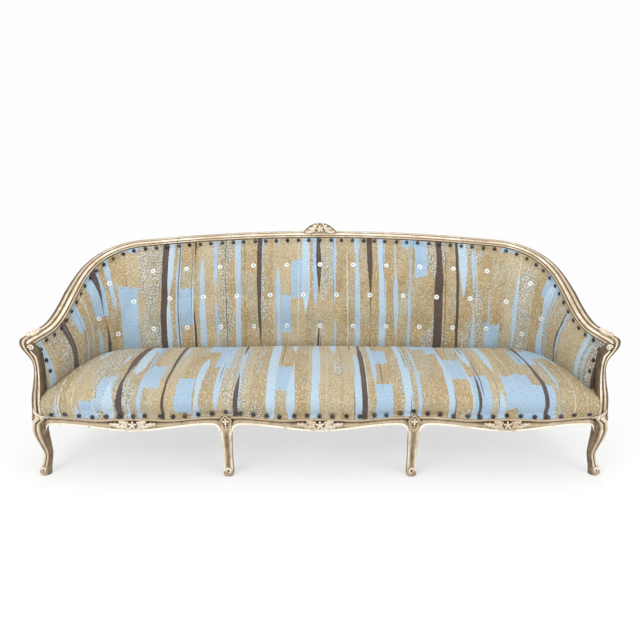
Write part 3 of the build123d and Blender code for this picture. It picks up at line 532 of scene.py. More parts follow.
        return bench.done(
            warp * weft * 0.5 + fleck * 1.4 + (strip + stripe) * 0.5,
            0.0009,
            Base_Color=colour,
            Roughness=0.86 - strip * 0.14,
            Specular_IOR_Level=0.25,
            Sheen_Weight=0.16,
            Sheen_Roughness=0.5,
        )


@dataclass(frozen=True)
class PlainCloth:
    """One-colour cloth with an open weave."""

    weave: Weave
    yarn: Rgb
    gap: Rgb

    def make(self, name: str) -> Material:
        """Build the finish on the piece's own place in the sofa."""
        bench = Bench(name)
        x, y, _ = bench.parts(bench.place())
        step = 2 * math.pi / self.weave.value
        weave = (x * step).wave() * (y * step).wave()
        slub = bench.noise(bench.join(x * 3.0, y, 0.0), 90.0, 3.0)
        colour = bench.mix((weave * 0.4 + slub).ease(0.25, 0.75), self.gap, self.yarn)
        return bench.done(weave * 0.5 + slub, 0.001, Base_Color=colour, Roughness=0.85 + slub * 0.1)


@dataclass(frozen=True)
class Metal:
    """Metal with a little tarnish."""

    bright: Rgb
    tarnish: Rgb
    rough: float

    def make(self, name: str) -> Material:
        """Build the finish."""
        bench = Bench(name)
        stain = bench.noise(bench.place(), 60.0, 4.0)
        colour = bench.mix(stain.ease(0.4, 0.7), self.bright, self.tarnish)
        return bench.done(
            stain, 0.0003, Base_Color=colour, Metallic=1.0, Roughness=self.rough + stain * 0.15
        )


@dataclass(frozen=True)
class Pearl:
    """Pale shell button with a soft cloudy bloom and painted shade on its sunk middle."""

    white: Rgb = tone(226, 230, 228)
    cloud: Rgb = tone(184, 194, 200)
    # Painted shade for the button's sunk middle.
    eye: Rgb = tone(132, 136, 134)

    def make(self, name: str) -> Material:
        """Build the finish."""
        bench = Bench(name)
        bloom = bench.noise(bench.place(), 85.0, 3.0)
        rim = bench.value("ShaderNodeAttribute", {"attribute_name": "rim"}, {}, "Fac")
        colour = bench.mix(bloom.ease(0.45, 0.7), self.white, self.cloud)
        # Painted shade darkens the dished middle of each button.
        colour = bench.mix(rim.ease(0.5, 0.2), colour, self.eye)
        return bench.done(None, 0.0, Base_Color=colour, Roughness=0.2 + bloom * 0.1, Coat_Weight=0.4)


class Skin:
    """Points and faces of one piece, with the relief and the cloth place of each point."""

    def __init__(self) -> None:
        """Start with nothing."""
        self.points: list[Vector] = []
        self.faces: list[tuple[int, ...]] = []
        self.relief: list[float] = []
        self.weave: list[tuple[float, float]] = []

    def grid(
        self,
        rows: Sequence[Sequence[Vector]],
        relief: Sequence[Sequence[float]] | float = 0.5,
        weave: Sequence[Sequence[tuple[float, float]]] | None = None,
        loop: bool = False,
        caps: bool = False,
    ) -> None:
        """Add a sheet of quads.

        Args:
            rows: points, row by row, all rows as long.
            relief: relief of each point, or one value for all.
            weave: cloth place of each point.
            loop: join each row's end to its start.
            caps: close the first and the last row of a loop.
        """
        first = len(self.points)
        wide = len(rows[0])
        for i, row in enumerate(rows):
            for j, point in enumerate(row):
                self.points.append(Vector(point))
                self.relief.append(relief if isinstance(relief, float) else relief[i][j])
                self.weave.append(weave[i][j] if weave else (point[0], point[2]))
        for i in range(len(rows) - 1):
            for j in range(wide if loop else wide - 1):
                k = (j + 1) % wide
                low, high = first + i * wide, first + (i + 1) * wide
                self.faces.append((low + j, high + j, high + k, low + k))
        if caps:
            self.faces.append(tuple(first + j for j in range(wide)))
            last = first + (len(rows) - 1) * wide
            self.faces.append(tuple(last + j for j in reversed(range(wide))))

    def tube(
        self, path: Sequence[Vector], radii: Sequence[float], sides: int = 10, relief: float = 0.95
    ) -> None:
        """Add a round bead along a path, closed at both ends."""
        rows = []
        side = None
        for i, point in enumerate(path):
            ahead = (path[min(i + 1, len(path) - 1)] - path[max(i - 1, 0)]).normalized()
            if side is None:
                side = ahead.orthogonal()
            side = (side - ahead * side.dot(ahead)).normalized()
            rows.append([point + way * radii[i] for way in ring(side, ahead.cross(side), sides)])
        self.grid(rows, relief, loop=True, caps=True)

    def leaf(
        self,
        base: Vector,
        tip: Vector,
        face: Vector,
        width: float,
        rise: float,
        lobes: int = 0,
        curl: float = 0.0,
        bow: float = 0.0,
        bright: float = 0.42,
    ) -> None:
        """Add a carved leaf or petal with a midrib, seated on a surface.

        Args:
            base: where the leaf starts.
            tip: where it ends.
            face: which way its top faces.
            width: greatest width.
            rise: how far its top stands up.
            lobes: notches along each edge.
            curl: how far the tip lifts.
            bow: how far its middle line swings to one side.
            bright: relief at its edges.
        """
        ahead = tip - base
        across = ahead.cross(face).normalized()
        up = across.cross(ahead).normalized()
        long, wide = 15, 9
        rows, relief = [], []
        for t in spread(0.0, 1.0, long):
            half = width / 2 * max(math.sin(math.pi * min(t * 0.93 + 0.05, 1.0)), 0.04) ** 0.75
            half *= 1 + (0.24 * math.sin(2 * math.pi * lobes * t - 1.2) if lobes else 0.0)
            spot = base + ahead * t + across * (bow * math.sin(math.pi * t))
            row, heights, floor = [], [], []
            for a in spread(-1.0, 1.0, wide):
                crown = (1 - abs(a) ** 2.4) * min(1.0, 5 * (1 - t) + 0.25) * min(1.0, 6 * t + 0.4)
                rib = 0.28 * math.exp(-((a / 0.16) ** 2))
                vein = 0.14 * math.cos(2 * math.pi * (lobes or 2) * 1.5 * t + 5 * abs(a))
                height = rise * (crown * (1 + vein) - rib * crown) + curl * t**3
                row.append(spot + across * (half * a) + up * height)
                floor.append(spot + across * (half * a) - up * (0.35 * rise) + up * (curl * t**3 * 0.8))
                heights.append(min(max(bright + 0.62 * crown + vein * 1.2 - rib * 1.5, 0.05), 1.3))
            rows.append(row + floor[::-1])
            relief.append(heights + [0.1] * wide)
        self.grid(rows, relief, loop=True, caps=True)

    def flower(self, centre: Vector, face: Vector, radius: float, petals: int, turn: float = 0.0) -> None:
        """Add a carved flower: petals round a raised eye."""
        face = face.normalized()
        first = face.orthogonal().normalized()
        first = Matrix.Rotation(turn, 3, face) @ first
        for k in range(petals):
            way = Matrix.Rotation(2 * math.pi * k / petals, 3, face) @ first
            self.leaf(
                centre + way * radius * 0.15,
                centre + way * radius,
                face,
                radius * 2.6 / petals,
                radius * 0.34,
                curl=radius * 0.1,
                bright=0.62,
            )
        self.boss(centre + face * radius * 0.12, face, radius * 0.27, radius * 0.3, 1.1)

    def boss(self, centre: Vector, face: Vector, radius: float, rise: float, relief: float = 0.9) -> None:
        """Add a low round boss."""
        face = face.normalized()
        side = face.orthogonal().normalized()
        ways = ring(side, face.cross(side), 12)
        rows = []
        for share in (1.0, 0.97, 0.85, 0.6, 0.28, 0.04):
            lift = math.sqrt(max(1 - share**2, 0.0)) * rise
            rows.append([centre + way * radius * share + face * lift for way in ways])
        low = [point - face * rise * 0.5 for point in rows[0]]
        self.grid([low, *rows], relief, loop=True, caps=True)

    def volute(
        self,
        centre: Vector,
        right: Vector,
        up: Vector,
        radius: float,
        turns: float,
        bead: float,
        eye: float = 0.9,
    ) -> None:
        """Add a scroll that winds in to an eye.

        Args:
            centre: middle of the eye.
            right: direction of the scroll's start, as seen by the viewer.
            up: direction a quarter turn on.
            radius: size of the first turn.
            turns: how many turns it winds.
            bead: thickness at the start.
            eye: relief of the eye, 0 for a dark one.
        """
        face = right.cross(up).normalized()
        path, radii = [], []
        for t in spread(0.0, 1.0, 40):
            angle = 2 * math.pi * turns * t
            out = radius * (1 - 0.78 * t)
            spot = centre + right * (out * math.cos(angle)) + up * (out * math.sin(angle))
            path.append(spot + face * bead * 0.4 * t)
            radii.append(bead * (1 - 0.5 * t))
        self.tube(path, radii, 8)
        self.boss(centre, face, radius * 0.3, bead * 1.6, eye)

    def mirrored(self) -> "Skin":
        """The same piece on the other side of the sofa."""
        other = Skin()
        other.points = [Vector((-p.x, p.y, p.z)) for p in self.points]
        other.faces = [tuple(reversed(face)) for face in self.faces]
        other.relief = list(self.relief)
        other.weave = list(self.weave)
        return other

    def mesh(self, name: str, outward: bool = True) -> Mesh:
        """Make the mesh, with its attributes and, for a closed piece, its faces turned outward."""
        mesh = bpy.data.meshes.new(name)
        mesh.from_pydata([tuple(p) for p in self.points], [], self.faces)
        mesh.attributes.new("relief", "FLOAT", "POINT").data.foreach_set("value", self.relief)
        layer = mesh.uv_layers.new(name="weave")
        loops = [c for loop in mesh.loops for c in self.weave[loop.vertex_index]]
        layer.data.foreach_set("uv", loops)
        if outward:
            work = bmesh.new()
            work.from_mesh(mesh)
            bmesh.ops.recalc_face_normals(work, faces=work.faces)
            work.to_mesh(mesh)
            work.free()
        mesh.polygons.foreach_set("use_smooth", [True] * len(mesh.polygons))
        mesh.update()
        return mesh

    def piece(self, name: str, finish: Material) -> Object:
        """Make the piece and set it on the sofa."""
        return seat(bpy.data.objects.new(name, self.mesh(name)), finish)

    def pair(self, name: str, finish: Material) -> Iterator[tuple[str, Object]]:
        """Make the piece on the right and its mirror image on the left, each with its side's name."""
        for side, skin in ((Side.RIGHT, self), (Side.LEFT, self.mirrored())):
            hand = side.name.lower()
            yield hand, skin.piece(f"{name}_{hand}", finish)


def seat(piece: Object, finish: Material) -> Object:
    """Link a piece, give it its finish and let it ride with the sofa."""
    bpy.context.scene.collection.objects.link(piece)
    piece.data.materials.clear()
    piece.data.materials.append(finish)
    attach(piece, "root")
    log.info("%s: %d faces", piece.name, len(piece.data.polygons))
    return piece


@dataclass(frozen=True)
class WallLine:
    """Plan line at the foot of the back and arms, with the top rail's height and flare along it."""

    front: float = -0.369
    seam_y: float = 0.196
    bow_length: float = 0.85
    bow_turn: float = math.radians(4)
    corner_radius: float = 0.23
    side_splay: float = math.radians(9)
    side_length: float = 0.357
    back_height: float = 0.906
    crown_drop: float = 0.039
    shoulder_drop: float = 0.227
    shoulder_length: float = 0.49
    flare_back: float = 0.145
    flare_arm: float = 0.033
    flare_hand: float = 0.036
    hand_length: float = 0.15
    hand_setback: float = 0.026
    hand_lift: float = 0.007
    rail_deep: float = 0.052
    rail_high: float = 0.027
    seam_high: float = 0.385
    nail_strip: float = 0.024
    fullness: float = 0.07

    @property
    def corner_turn(self) -> float:
        """Angle that the corner turns through."""
        return math.pi / 2 - self.side_splay - self.bow_turn

    @property
    def corner_end(self) -> float:
        """Distance along the line to the end of the corner."""
        return self.bow_length + self.corner_radius * self.corner_turn

    @property
    def wrap_end(self) -> float:
        """Length of the line from the middle of the back to the front."""
        return self.corner_end + self.side_length

    @property
    def hand_end(self) -> float:
        """Where the top rail ends in the hand of the arm."""
        return self.wrap_end - self.hand_setback

    def plan(self, s: float) -> tuple[Vector, Vector]:
        """Point of the line and the way outward there.

        Args:
            s: distance from the middle of the back, positive to the right.

        Returns:
            The point on the floor and a level unit vector.
        """
        reach, hand = abs(s), math.copysign(1.0, s)
        radius = self.bow_length / self.bow_turn
        turn = min(reach, self.bow_length) / radius
        x, y = radius * math.sin(turn), self.seam_y - radius * (1 - math.cos(turn))
        if reach > self.bow_length:
            new = turn + (min(reach, self.corner_end) - self.bow_length) / self.corner_radius
            x += self.corner_radius * (math.sin(new) - math.sin(turn))
            y += self.corner_radius * (math.cos(new) - math.cos(turn))
            turn = new
        if reach > self.corner_end:
            x += (reach - self.corner_end) * math.cos(turn)
            y -= (reach - self.corner_end) * math.sin(turn)
        return Vector((hand * x, y, 0)), Vector((hand * math.sin(turn), math.cos(turn), 0))

    def point(self, s: float, out: float, up: float) -> Vector:
        """Place at a distance outside the line and a height."""
        spot, away = self.plan(s)
        return spot + away * out + Vector((0, 0, up))

    def hand_share(self, s: float) -> float:
        """0 along the back, rising to 1 at the hand of the arm."""
        return smooth((abs(s) - self.hand_end + self.hand_length) / self.hand_length)

    def flare(self, s: float) -> float:
        """How far the top rail's edge stands outside the line."""
        turn = smooth((abs(s) - self.bow_length) / (self.corner_end - self.bow_length))
        level = self.flare_back + (self.flare_arm - self.flare_back) * turn
        return level + (self.flare_hand - self.flare_arm) * self.hand_share(s)

    def rail_z(self, s: float) -> float:
        """Height of the top rail's lower inner edge."""
        crown = self.crown_drop * (s / self.bow_length) ** 2
        fall = self.shoulder_drop * smooth((abs(s) - self.bow_length) / self.shoulder_length)
        return self.back_height - crown - fall + self.hand_lift * self.hand_share(s)

    def stretch(self, s: float) -> float:
        """How much taller an upright cut through the sloping rail is."""
        return math.hypot(1, (self.rail_z(s + STEP) - self.rail_z(s - STEP)) / (2 * STEP))

    def rail_point(self, s: float, out: float, up: float) -> Vector:
        """Place on the top rail, from shares of its depth and height."""
        tall = self.rail_high * self.stretch(s)
        return self.point(s, self.flare(s) + self.rail_deep * out, self.rail_z(s) + tall * up)

    def lean(self, s: float, height: float) -> float:
        """How far the wall stands outside the line at a height."""
        share = (height - self.seam_high) / (self.rail_z(s) - self.seam_high)
        return self.flare(s) * min(max(share, 0.0), 1.0)

    def pad_arc(self, s: float) -> tuple[float, float, float]:
        """Arc of the inside pad's face: its centre, outward and up, and its radius."""
        rise = self.rail_z(s) - self.nail_strip - self.seam_high
        chord = math.hypot(self.flare(s), rise)
        bulge = self.fullness * chord
        radius = (chord**2 / 4 + bulge**2) / (2 * bulge)
        back = (radius - bulge) / chord
        return self.flare(s) / 2 + rise * back, self.seam_high + rise / 2 - self.flare(s) * back, radius

    def pad_spot(self, s: float, height: float) -> tuple[Vector, Vector]:
        """Point of the inside pad's face and the way that it faces."""
        out, up, radius = self.pad_arc(s)
        face = out - math.sqrt(radius**2 - (height - up) ** 2)
        _, away = self.plan(s)
        aim = away * ((face - out) / radius) + Vector((0, 0, (height - up) / radius))
        return self.point(s, face, height), aim


WALL = WallLine()


def front_top(x: float) -> float:
    """Height of the front rail's top edge, high at the legs, with a dip on each side of a bay's flower."""
    for start, end in zip(BAY_ENDS, BAY_ENDS[1:]):
        if start <= x <= end:
            share = abs(2 * (x - start) / (end - start) - 1)
            return spline(spread(0.0, 1.0, len(SHOW_LINE)), SHOW_LINE, share)
    return SHOW_LINE[-1]


@dataclass(frozen=True)
class TopRail:
    """Reeded rail over the back that sweeps down the arms, over their hands and on into the stumps."""

    joint: float = 0.7
    stump_front: float = -0.373
    stump_back: float = -0.327
    stump_low: float = 0.305
    stump_high: float = 0.5727
    stump_round: float = 0.012
    hand_roll: float = 0.024
    hand_drop: float = 0.86
    reed_rise: float = 0.0065
    reed_points: int = 8
    groove_out: float = 0.015
    groove_down: float = 0.05
    # Point on the rail's back face, out and up as shares, with low relief as painted shade.
    outer_edge: Triple = (1.0, 0.55, 0.3)
    band_back: float = -0.340
    band_low: float = 0.345
    band_top: float = 0.582
    # Outer and inner edge of the band: shift from the stump's inner edge, swing and height where it starts.
    band_edge: Triple = (0.008, 0.034, 0.532)
    band_side: Triple = (-0.003, 0.030, 0.552)
    band_run: float = 0.036
    reeds: tuple = (
        ((0.0, 0.04), (0.005, 0.26), (0.10, 0.34)),
        ((0.13, 0.34), (0.18, 0.67), (0.43, 0.78)),
        ((0.47, 0.77), (0.57, 0.96), (0.75, 1.0)),
        ((0.79, 0.985), (0.89, 0.995), (0.99, 0.78)),
    )
    # Relief of each reed's crest; the low last one is painted shade on the rail's top and back edge.
    crest_share: tuple = (0.82, 1.02, 0.86, 0.26)
    stump_sections: tuple = (
        (-0.16, 0.054, 0.000),
        (0.0, 0.049, -0.001),
        (0.2, 0.046, -0.006),
        (0.42, 0.038, -0.017),
        (0.64, 0.030, -0.0245),
        (0.78, 0.034, -0.0225),
        (0.9, 0.054, -0.011),
    )

    def profile(self) -> list[tuple[float, float, float]]:
        """Section from the inner edge over the reeds to the outer edge, with the relief of each point."""
        points = []
        shares = spread(0.0, 1.0, self.reed_points)
        for (start, crest, end), bright in zip(self.reeds, self.crest_share):
            for t, spot in zip(shares, arc(start, crest, end, self.reed_points)):
                points.append((*spot, bright * math.sin(math.pi * t) ** 0.7))
            points.append((end[0] + self.groove_out, end[1] - self.groove_down, 0.0))
        points[-1] = self.outer_edge
        return points

    def rail_row(self, s: float) -> tuple[list[Vector], list[float]]:
        """One closed section of the rail."""
        profile = self.profile()
        row = [WALL.rail_point(s, out, up) for out, up, _ in profile]
        row += [WALL.rail_point(s, out, 0.0) for out in (1.0, 0.5, 0.0)]
        # The underside and back of the rail get low relief: painted shade.
        return row, [bright for _, _, bright in profile] + [0.2, 0.1, 0.1]

    def stump_row(self, share: float) -> tuple[list[Vector], list[float]]:
        """One closed section of the right stump, its reeds in line with the rail's."""
        width, shift = section_at(self.stump_sections, share)
        middle = POST_X + shift
        level = self.stump_low + share * (self.stump_high - self.stump_low)
        row, relief = [], []
        for out, _, bright in self.profile():
            round_off = self.stump_round * abs(2 * out - 1) ** 5
            face = self.stump_front + self.reed_rise * (1 - bright) + round_off
            row.append(Vector((middle + (out - 0.5) * width, face, level)))
            relief.append(max(bright, 0.25) if out > 0.7 else bright)
        for out in (0.5, 0.0, -0.5):
            row.append(Vector((middle + out * width, self.stump_back, level)))
        # The back of the stump gets low relief: painted shade.
        return row, relief + [0.3, 0.1, 0.1]

    def stump_edges(self, level: float) -> tuple[float, float]:
        """Inner and outer edge of the right stump at a height."""
        share = (level - self.stump_low) / (self.stump_high - self.stump_low)
        width, shift = section_at(self.stump_sections, share)
        middle = POST_X + shift
        return middle - width / 2, middle + width / 2

    def inner_band(self) -> list[list[Vector]]:
        """Sections of the plain board between the right stump's reeds and the upholstery."""
        rows = []
        front = self.stump_front + 0.004
        for level in spread(self.band_low, self.band_top, 34):
            side, _ = self.stump_edges(level)
            edge, inner = (
                side + start + swing * smooth((level - low) / self.band_run)
                for start, swing, low in (self.band_edge, self.band_side)
            )
            section = (
                (inner, self.band_back),
                (inner, front + 0.006),
                (inner + 0.004, front),
                (edge, front),
                (edge, self.band_back),
            )
            rows.append([Vector((x, y, level)) for x, y in section])
        return rows

    def arm_rows(self) -> tuple[list[list[Vector]], list[list[float]]]:
        """Sections of the right arm, from the joint in the rail to the foot of the stump."""
        last = WALL.hand_end - self.hand_roll
        rows = [self.rail_row(s) for s in spread(self.joint, last, 90)]
        start, relief = self.rail_row(last)
        end, _ = self.stump_row(self.hand_drop)
        _, ahead = WALL.plan(last)
        heading = Vector((ahead.y, -ahead.x, 0))
        for t in spread(0.0, 1.0, 14)[1:-1]:
            row = []
            for a, b in zip(start, end):
                run = (a.y - b.y) / -heading.y
                corner = a + heading * run
                corner.z = max(a.z, b.z)
                row.append(bend(a, corner, b, t))
            rows.append((row, relief))
        foot = self.stump_sections[0][0]
        rows += [self.stump_row(share) for share in spread(self.hand_drop, foot, 44)]
        return [row for row, _ in rows], [bright for _, bright in rows]

    def build(self, paint: Material) -> None:
        """Make the centre of the rail and the two arms."""
        rows = [self.rail_row(s) for s in spread(-self.joint, self.joint, 81)]
        centre = Skin()
        centre.grid([row for row, _ in rows], [bright for _, bright in rows], loop=True, caps=True)
        rail = centre.piece("top_rail_centre", paint)
        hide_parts("crest_rail")
        arm = Skin()
        arm.grid(*self.arm_rows(), loop=True, caps=True)
        # The plain board on the stump's inner side is painted dark, as shade on the face turned inward.
        arm.grid(self.inner_band(), 0.16, loop=True, caps=True)
        for hand, rail in arm.pair("arm_rail_and_stump", paint):
            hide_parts(f"wing_rail_{hand}", f"arm_stump_{hand}")


@dataclass(frozen=True)
class RailCarving:
    """Crest on the top rail, leaves on the arms and scrolls on their hands."""

    crest_half: float = 0.086
    crest_rise: float = 0.050
    leaf_gap: float = 0.030
    leaf_length: float = 0.085
    leaf_width: float = 0.034
    scroll_eye: Triple = (1.133, -0.372, 0.572)

    def mound(self, x: float, turn: float) -> Vector:
        """Point on the crest's mound, turned from its foot at the front over to its foot at the back."""
        rise = self.crest_rise * (1 - min(abs(x) / self.crest_half, 1.0) ** 2.2) ** 0.9
        front, back = WALL.rail_point(x, 0.2, 0.5), WALL.rail_point(x, 0.86, 0.9)
        y = (front.y + back.y) / 2 - (back.y - front.y) / 2 * math.cos(turn)
        foot = front.z + (back.z - front.z) * turn / math.pi
        return Vector((x, y, foot + rise * math.sin(turn) ** 0.75))

    def crest(self) -> Skin:
        """Low mound with painted shade over its top and back, and leaves round a flower on its face."""
        skin = Skin()
        turns = spread(0.0, math.pi, 15)
        rows = [[self.mound(x, a) for a in turns] for x in spread(-self.crest_half, self.crest_half, 41)]
        # Past its front face the mound is painted dark, as shade over its top and back.
        skin.grid(rows, [[0.5 if a < 0.9 else 0.12 for a in turns] for _ in rows], loop=True, caps=True)
        face = Vector((0, -1, 0.45))
        for side in Side:
            for inner, low, outer, high, wide in (
                (0.012, 0.75, 0.036, 1.15, 0.020),
                (0.016, 0.55, 0.060, 0.95, 0.021),
                (0.020, 0.30, 0.076, 0.55, 0.018),
                (0.006, 1.00, 0.013, 1.45, 0.018),
            ):
                root = self.mound(side.value * inner, low)
                tip = self.mound(side.value * outer, high)
                skin.leaf(root, tip, face, wide, 0.009, lobes=3, curl=0.003, bow=0.004 * side.value)
        skin.flower(self.mound(0.0, 0.45) + Vector((0, -0.013, 0)), face, 0.0195, 5, turn=0.3)
        return skin

    def arm(self) -> Skin:
        """Leaf on the right arm's rail, and the scroll inside its hand."""
        skin = Skin()
        start = WALL.hand_end - self.leaf_gap
        root = WALL.rail_point(start, 0.66, 0.93)
        tip = WALL.rail_point(start - self.leaf_length, 0.5, 0.93)
        face = Vector((-0.35, -0.2, 1.0))
        skin.leaf(root, tip, face, self.leaf_width, 0.013, lobes=4, curl=0.003)
        for swing, reach in ((0.018, 0.62), (-0.016, 0.55)):
            aim = root.lerp(tip, reach) + Vector((swing, 0, -0.002))
            skin.leaf(root, aim, face, self.leaf_width * 0.5, 0.010, lobes=3, curl=0.004)
        skin.volute(Vector(self.scroll_eye), Vector((1, 0, 0)), Vector((0, 0, 1)), 0.0120, 1.4, 0.0036)
        return skin

    def build(self, paint: Material) -> None:
        """Make the carvings as pieces of their own."""
        self.crest().piece("crest_carving", paint)
        for _, carving in self.arm().pair("arm_carving", paint):
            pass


@dataclass(frozen=True)
class FrontFrame:
    """Shaped front rail in three bays, with its carving, and the four front legs under it."""

    post_y: float = -0.339
    ear: float = 0.062
    neck: float = 0.0215
    neck_z: float = 0.206
    corner_neck: float = 0.014
    arch: float = 0.244
    bay_low: float = 0.216
    corner_bend: float = 0.014
    reach: float = 0.014
    bead: float = 0.0050
    bead_run: float = 0.016
    lip_bead: float = 0.0042
    spray_z: float = 0.243
    toe_z: float = 0.029
    leg_square: float = 0.62
    reed_foot: float = 0.022
    square_z: float = 0.240
    fade_run: float = 0.03
    reed_cut: float = 0.0042
    bay_section: tuple[Triple, ...] = (
        (0.022, 0.0, 0.1),
        (0.0035, 0.0, 0.55),
        (0.005, 0.10, 0.6),
        (0.004, 0.17, 0.15),
        (0.0095, 0.24, 0.05),
        (0.0105, 0.38, 0.2),
        (0.0085, 0.50, 0.45),
        (0.0045, 0.66, 0.6),
        (0.003, 0.82, 0.35),
        (0.004, 1.0, 0.1),
        (0.026, 1.0, 0.1),
    )
    diamond: tuple = ((0.0, 0.287), (0.023, 0.260), (0.0, 0.212), (-0.023, 0.260))
    fold: tuple[Triple, ...] = (
        (0.014, -0.367, 0.309),
        (0.006, -0.375, 0.298),
        (-0.012, -0.380, 0.286),
        (-0.050, -0.3795, 0.2735),
    )
    mid_sections: tuple[Section, ...] = (
        (0.0, 0.032, 0.034, 0.018),
        (0.006, 0.040, 0.044, 0.015),
        (0.016, 0.043, 0.048, 0.013),
        (0.040, 0.039, 0.040, 0.018),
        (0.095, 0.036, 0.036, 0.021),
        (0.150, 0.039, 0.040, 0.016),
        (0.205, 0.043, 0.050, 0.011),
        (0.240, 0.050, 0.054, 0.014),
        (0.272, 0.052, 0.050, 0.013),
    )
    corner_sections: tuple[Section, ...] = (
        (0.0, 0.030, 0.032, -0.008),
        (0.006, 0.038, 0.042, -0.011),
        (0.016, 0.041, 0.046, -0.012),
        (0.040, 0.036, 0.038, -0.004),
        (0.090, 0.034, 0.034, 0.008),
        (0.130, 0.042, 0.042, 0.003),
        (0.170, 0.052, 0.052, -0.005),
        (0.212, 0.058, 0.058, -0.010),
        (0.245, 0.057, 0.054, -0.008),
        (0.276, 0.054, 0.048, -0.010),
    )

    def low_edge(self, x: float, start: float, end: float, necks: tuple[float, float]) -> float:
        """Height of a bay's lower edge, which dips in the middle and sweeps down into each leg.

        Args:
            x: place along the rail.
            start: middle of the leg at the bay's left.
            end: middle of the leg at the bay's right.
            necks: half width of each leg where the sweep ends.

        Returns:
            The height of the edge.
        """
        left, right = start + self.ear, end - self.ear
        if left <= x <= right:
            share = 2 * (x - left) / (right - left) - 1
            return self.arch + (self.bay_low - self.arch) * (1 + math.cos(math.pi * share)) / 2
        apart, neck = (x - start, necks[0]) if x < left else (end - x, necks[1])
        share = min(max((self.ear - apart) / (self.ear - neck), 0.0), 1.0)
        return self.arch - (self.arch - self.neck_z) * (1 - math.sqrt(max(1 - share**2.4, 0.0)))

    def bay(self, start: float, end: float, necks: tuple[float, float]) -> Skin:
        """One bay: a lip, a cove and a flat band over the bead that edges it."""
        skin = Skin()
        columns, relief, edge = [], [], []
        for x in spread(start + necks[0], end - necks[1], 97):
            low = self.low_edge(x, start, end, necks)
            left, right = start + self.ear, end - self.ear
            share = min(max(2 * (x - left) / (right - left) - 1, -1.0), 1.0)
            swell = (1 + math.cos(math.pi * share)) / 2
            bent = smooth((self.ear - (end - x)) / (self.ear - necks[1])) if end > LEG_X else 0.0
            face = WALL.front - self.reach + 0.002 * (1 - swell) + self.corner_bend * bent
            top = front_top(x)
            tall = top - low
            section = self.bay_section
            columns.append([Vector((x, face + back, top - tall * down)) for back, down, _ in section])
            relief.append([bright for _, _, bright in section])
            edge.append(Vector((x, face + 0.0040, low + 0.0025)))
        skin.grid(columns, relief, loop=True, caps=True)
        corner = end - necks[1] if end > LEG_X else math.inf
        thick = [self.bead * (1 - 0.75 * smooth(1 - (corner - p.x) / self.bead_run)) for p in edge]
        skin.tube(edge, thick, 10, 1.15)
        lip_line = [Vector((p.x, p.y + 0.001, front_top(p.x) - 0.004)) for p in edge]
        skin.tube(lip_line, [self.lip_bead] * len(lip_line), 8, 0.62)
        return skin

    def spray(self, centre: float) -> Skin:
        """Carved flower with leaves on each side, in the middle of a bay."""
        skin = Skin()
        face = Vector((0, -1, 0.15))
        ground = WALL.front - self.reach + 0.006
        middle = Vector((centre, ground, self.spray_z))
        for side in Side:
            way = side.value
            for inner, outer, rise_in, rise_out, wide in (
                (0.014, 0.058, 0.008, 0.017, 0.022),
                (0.016, 0.070, -0.004, -0.007, 0.021),
                (0.048, 0.098, 0.002, 0.005, 0.019),
                (0.010, 0.038, -0.012, -0.020, 0.018),
            ):
                root = middle + Vector((way * inner, 0, rise_in))
                tip = middle + Vector((way * outer, 0.002, rise_out))
                skin.leaf(root, tip, face, wide, 0.011, lobes=3, curl=0.003, bow=0.003 * way)
            skin.flower(middle + Vector((way * 0.027, -0.004, 0.002)), face, 0.0095, 5)
            skin.boss(middle + Vector((way * 0.044, -0.004, 0.001)), face, 0.004, 0.005)
        skin.flower(middle + Vector((0, -0.007, 0.001)), face, 0.0185, 5, turn=0.2)
        root = middle + Vector((-0.028, 0.0, -0.021))
        tip = middle + Vector((0.028, 0.0, -0.021))
        skin.leaf(root, tip, face, 0.013, 0.009)
        return skin

    def leg(
        self, sections: tuple[Section, ...], origin: Vector, turn: float, reeds: float, hollow: bool
    ) -> Skin:
        """Cabriole leg with reeds down its front.

        Args:
            sections: height, width, depth and setback up the leg.
            origin: middle of the leg on the floor.
            turn: angle that its front is turned about the upright.
            reeds: how many reeds fit round the front half.
            hollow: whether a hollow runs down the middle of the front, or a reed.

        Returns:
            The leg's skin.
        """
        rows, relief = [], []
        around = 56
        for level in spread(0.0, sections[-1][0], 72):
            width, depth, setback = section_at(sections, level)
            fade = smooth((level - self.reed_foot) / self.fade_run)
            square = turn * (1 - smooth((level - self.square_z) / self.fade_run))
            frame_turn = Matrix.Rotation(square, 3, "Z")
            row, bright = [], []
            for k in range(around):
                angle = 2 * math.pi * k / around
                c, s = math.cos(angle), math.sin(angle)
                x = math.copysign(abs(c) ** self.leg_square, c) * width / 2
                y = math.copysign(abs(s) ** self.leg_square, s) * depth / 2
                off = angle - 1.5 * math.pi if angle > math.pi / 2 else angle + math.pi / 2
                # The sides and back of the leg are painted dark, as shade.
                light = 0.3
                if abs(off) < math.pi / 2:
                    crest = 0.5 + (-0.5 if hollow else 0.5) * math.cos(reeds * 2 * off)
                    cut = self.reed_cut * fade * (1 - crest) * smooth((math.pi / 2 - abs(off)) * 3)
                    x *= 1 - cut / width
                    y += cut if y < 0 else 0.0
                    shade = 0.32 + 0.6 * crest if hollow else 0.1 + 0.75 * crest
                    light = 0.5 + (shade - 0.5) * fade
                bright.append(light)
                spot = frame_turn @ Vector((x, y + setback, 0))
                row.append(origin + spot + Vector((0, 0, level)))
            rows.append(row)
            relief.append(bright)
        skin = Skin()
        skin.grid(rows, relief, loop=True, caps=True)
        return skin

    def toe(self, skin: Skin, origin: Vector, turn: float, ahead: float, radius: float) -> None:
        """Add a scroll with an eye to a leg's toe."""
        frame_turn = Matrix.Rotation(turn, 3, "Z")
        way = frame_turn @ Vector((0, -1, 0))
        across = frame_turn @ Vector((1, 0, 0))
        centre = origin + way * ahead + Vector((0, 0, self.toe_z))
        skin.volute(centre, across, Vector((0, 0, 1)), radius, 1.2, 0.0044, 0.0)

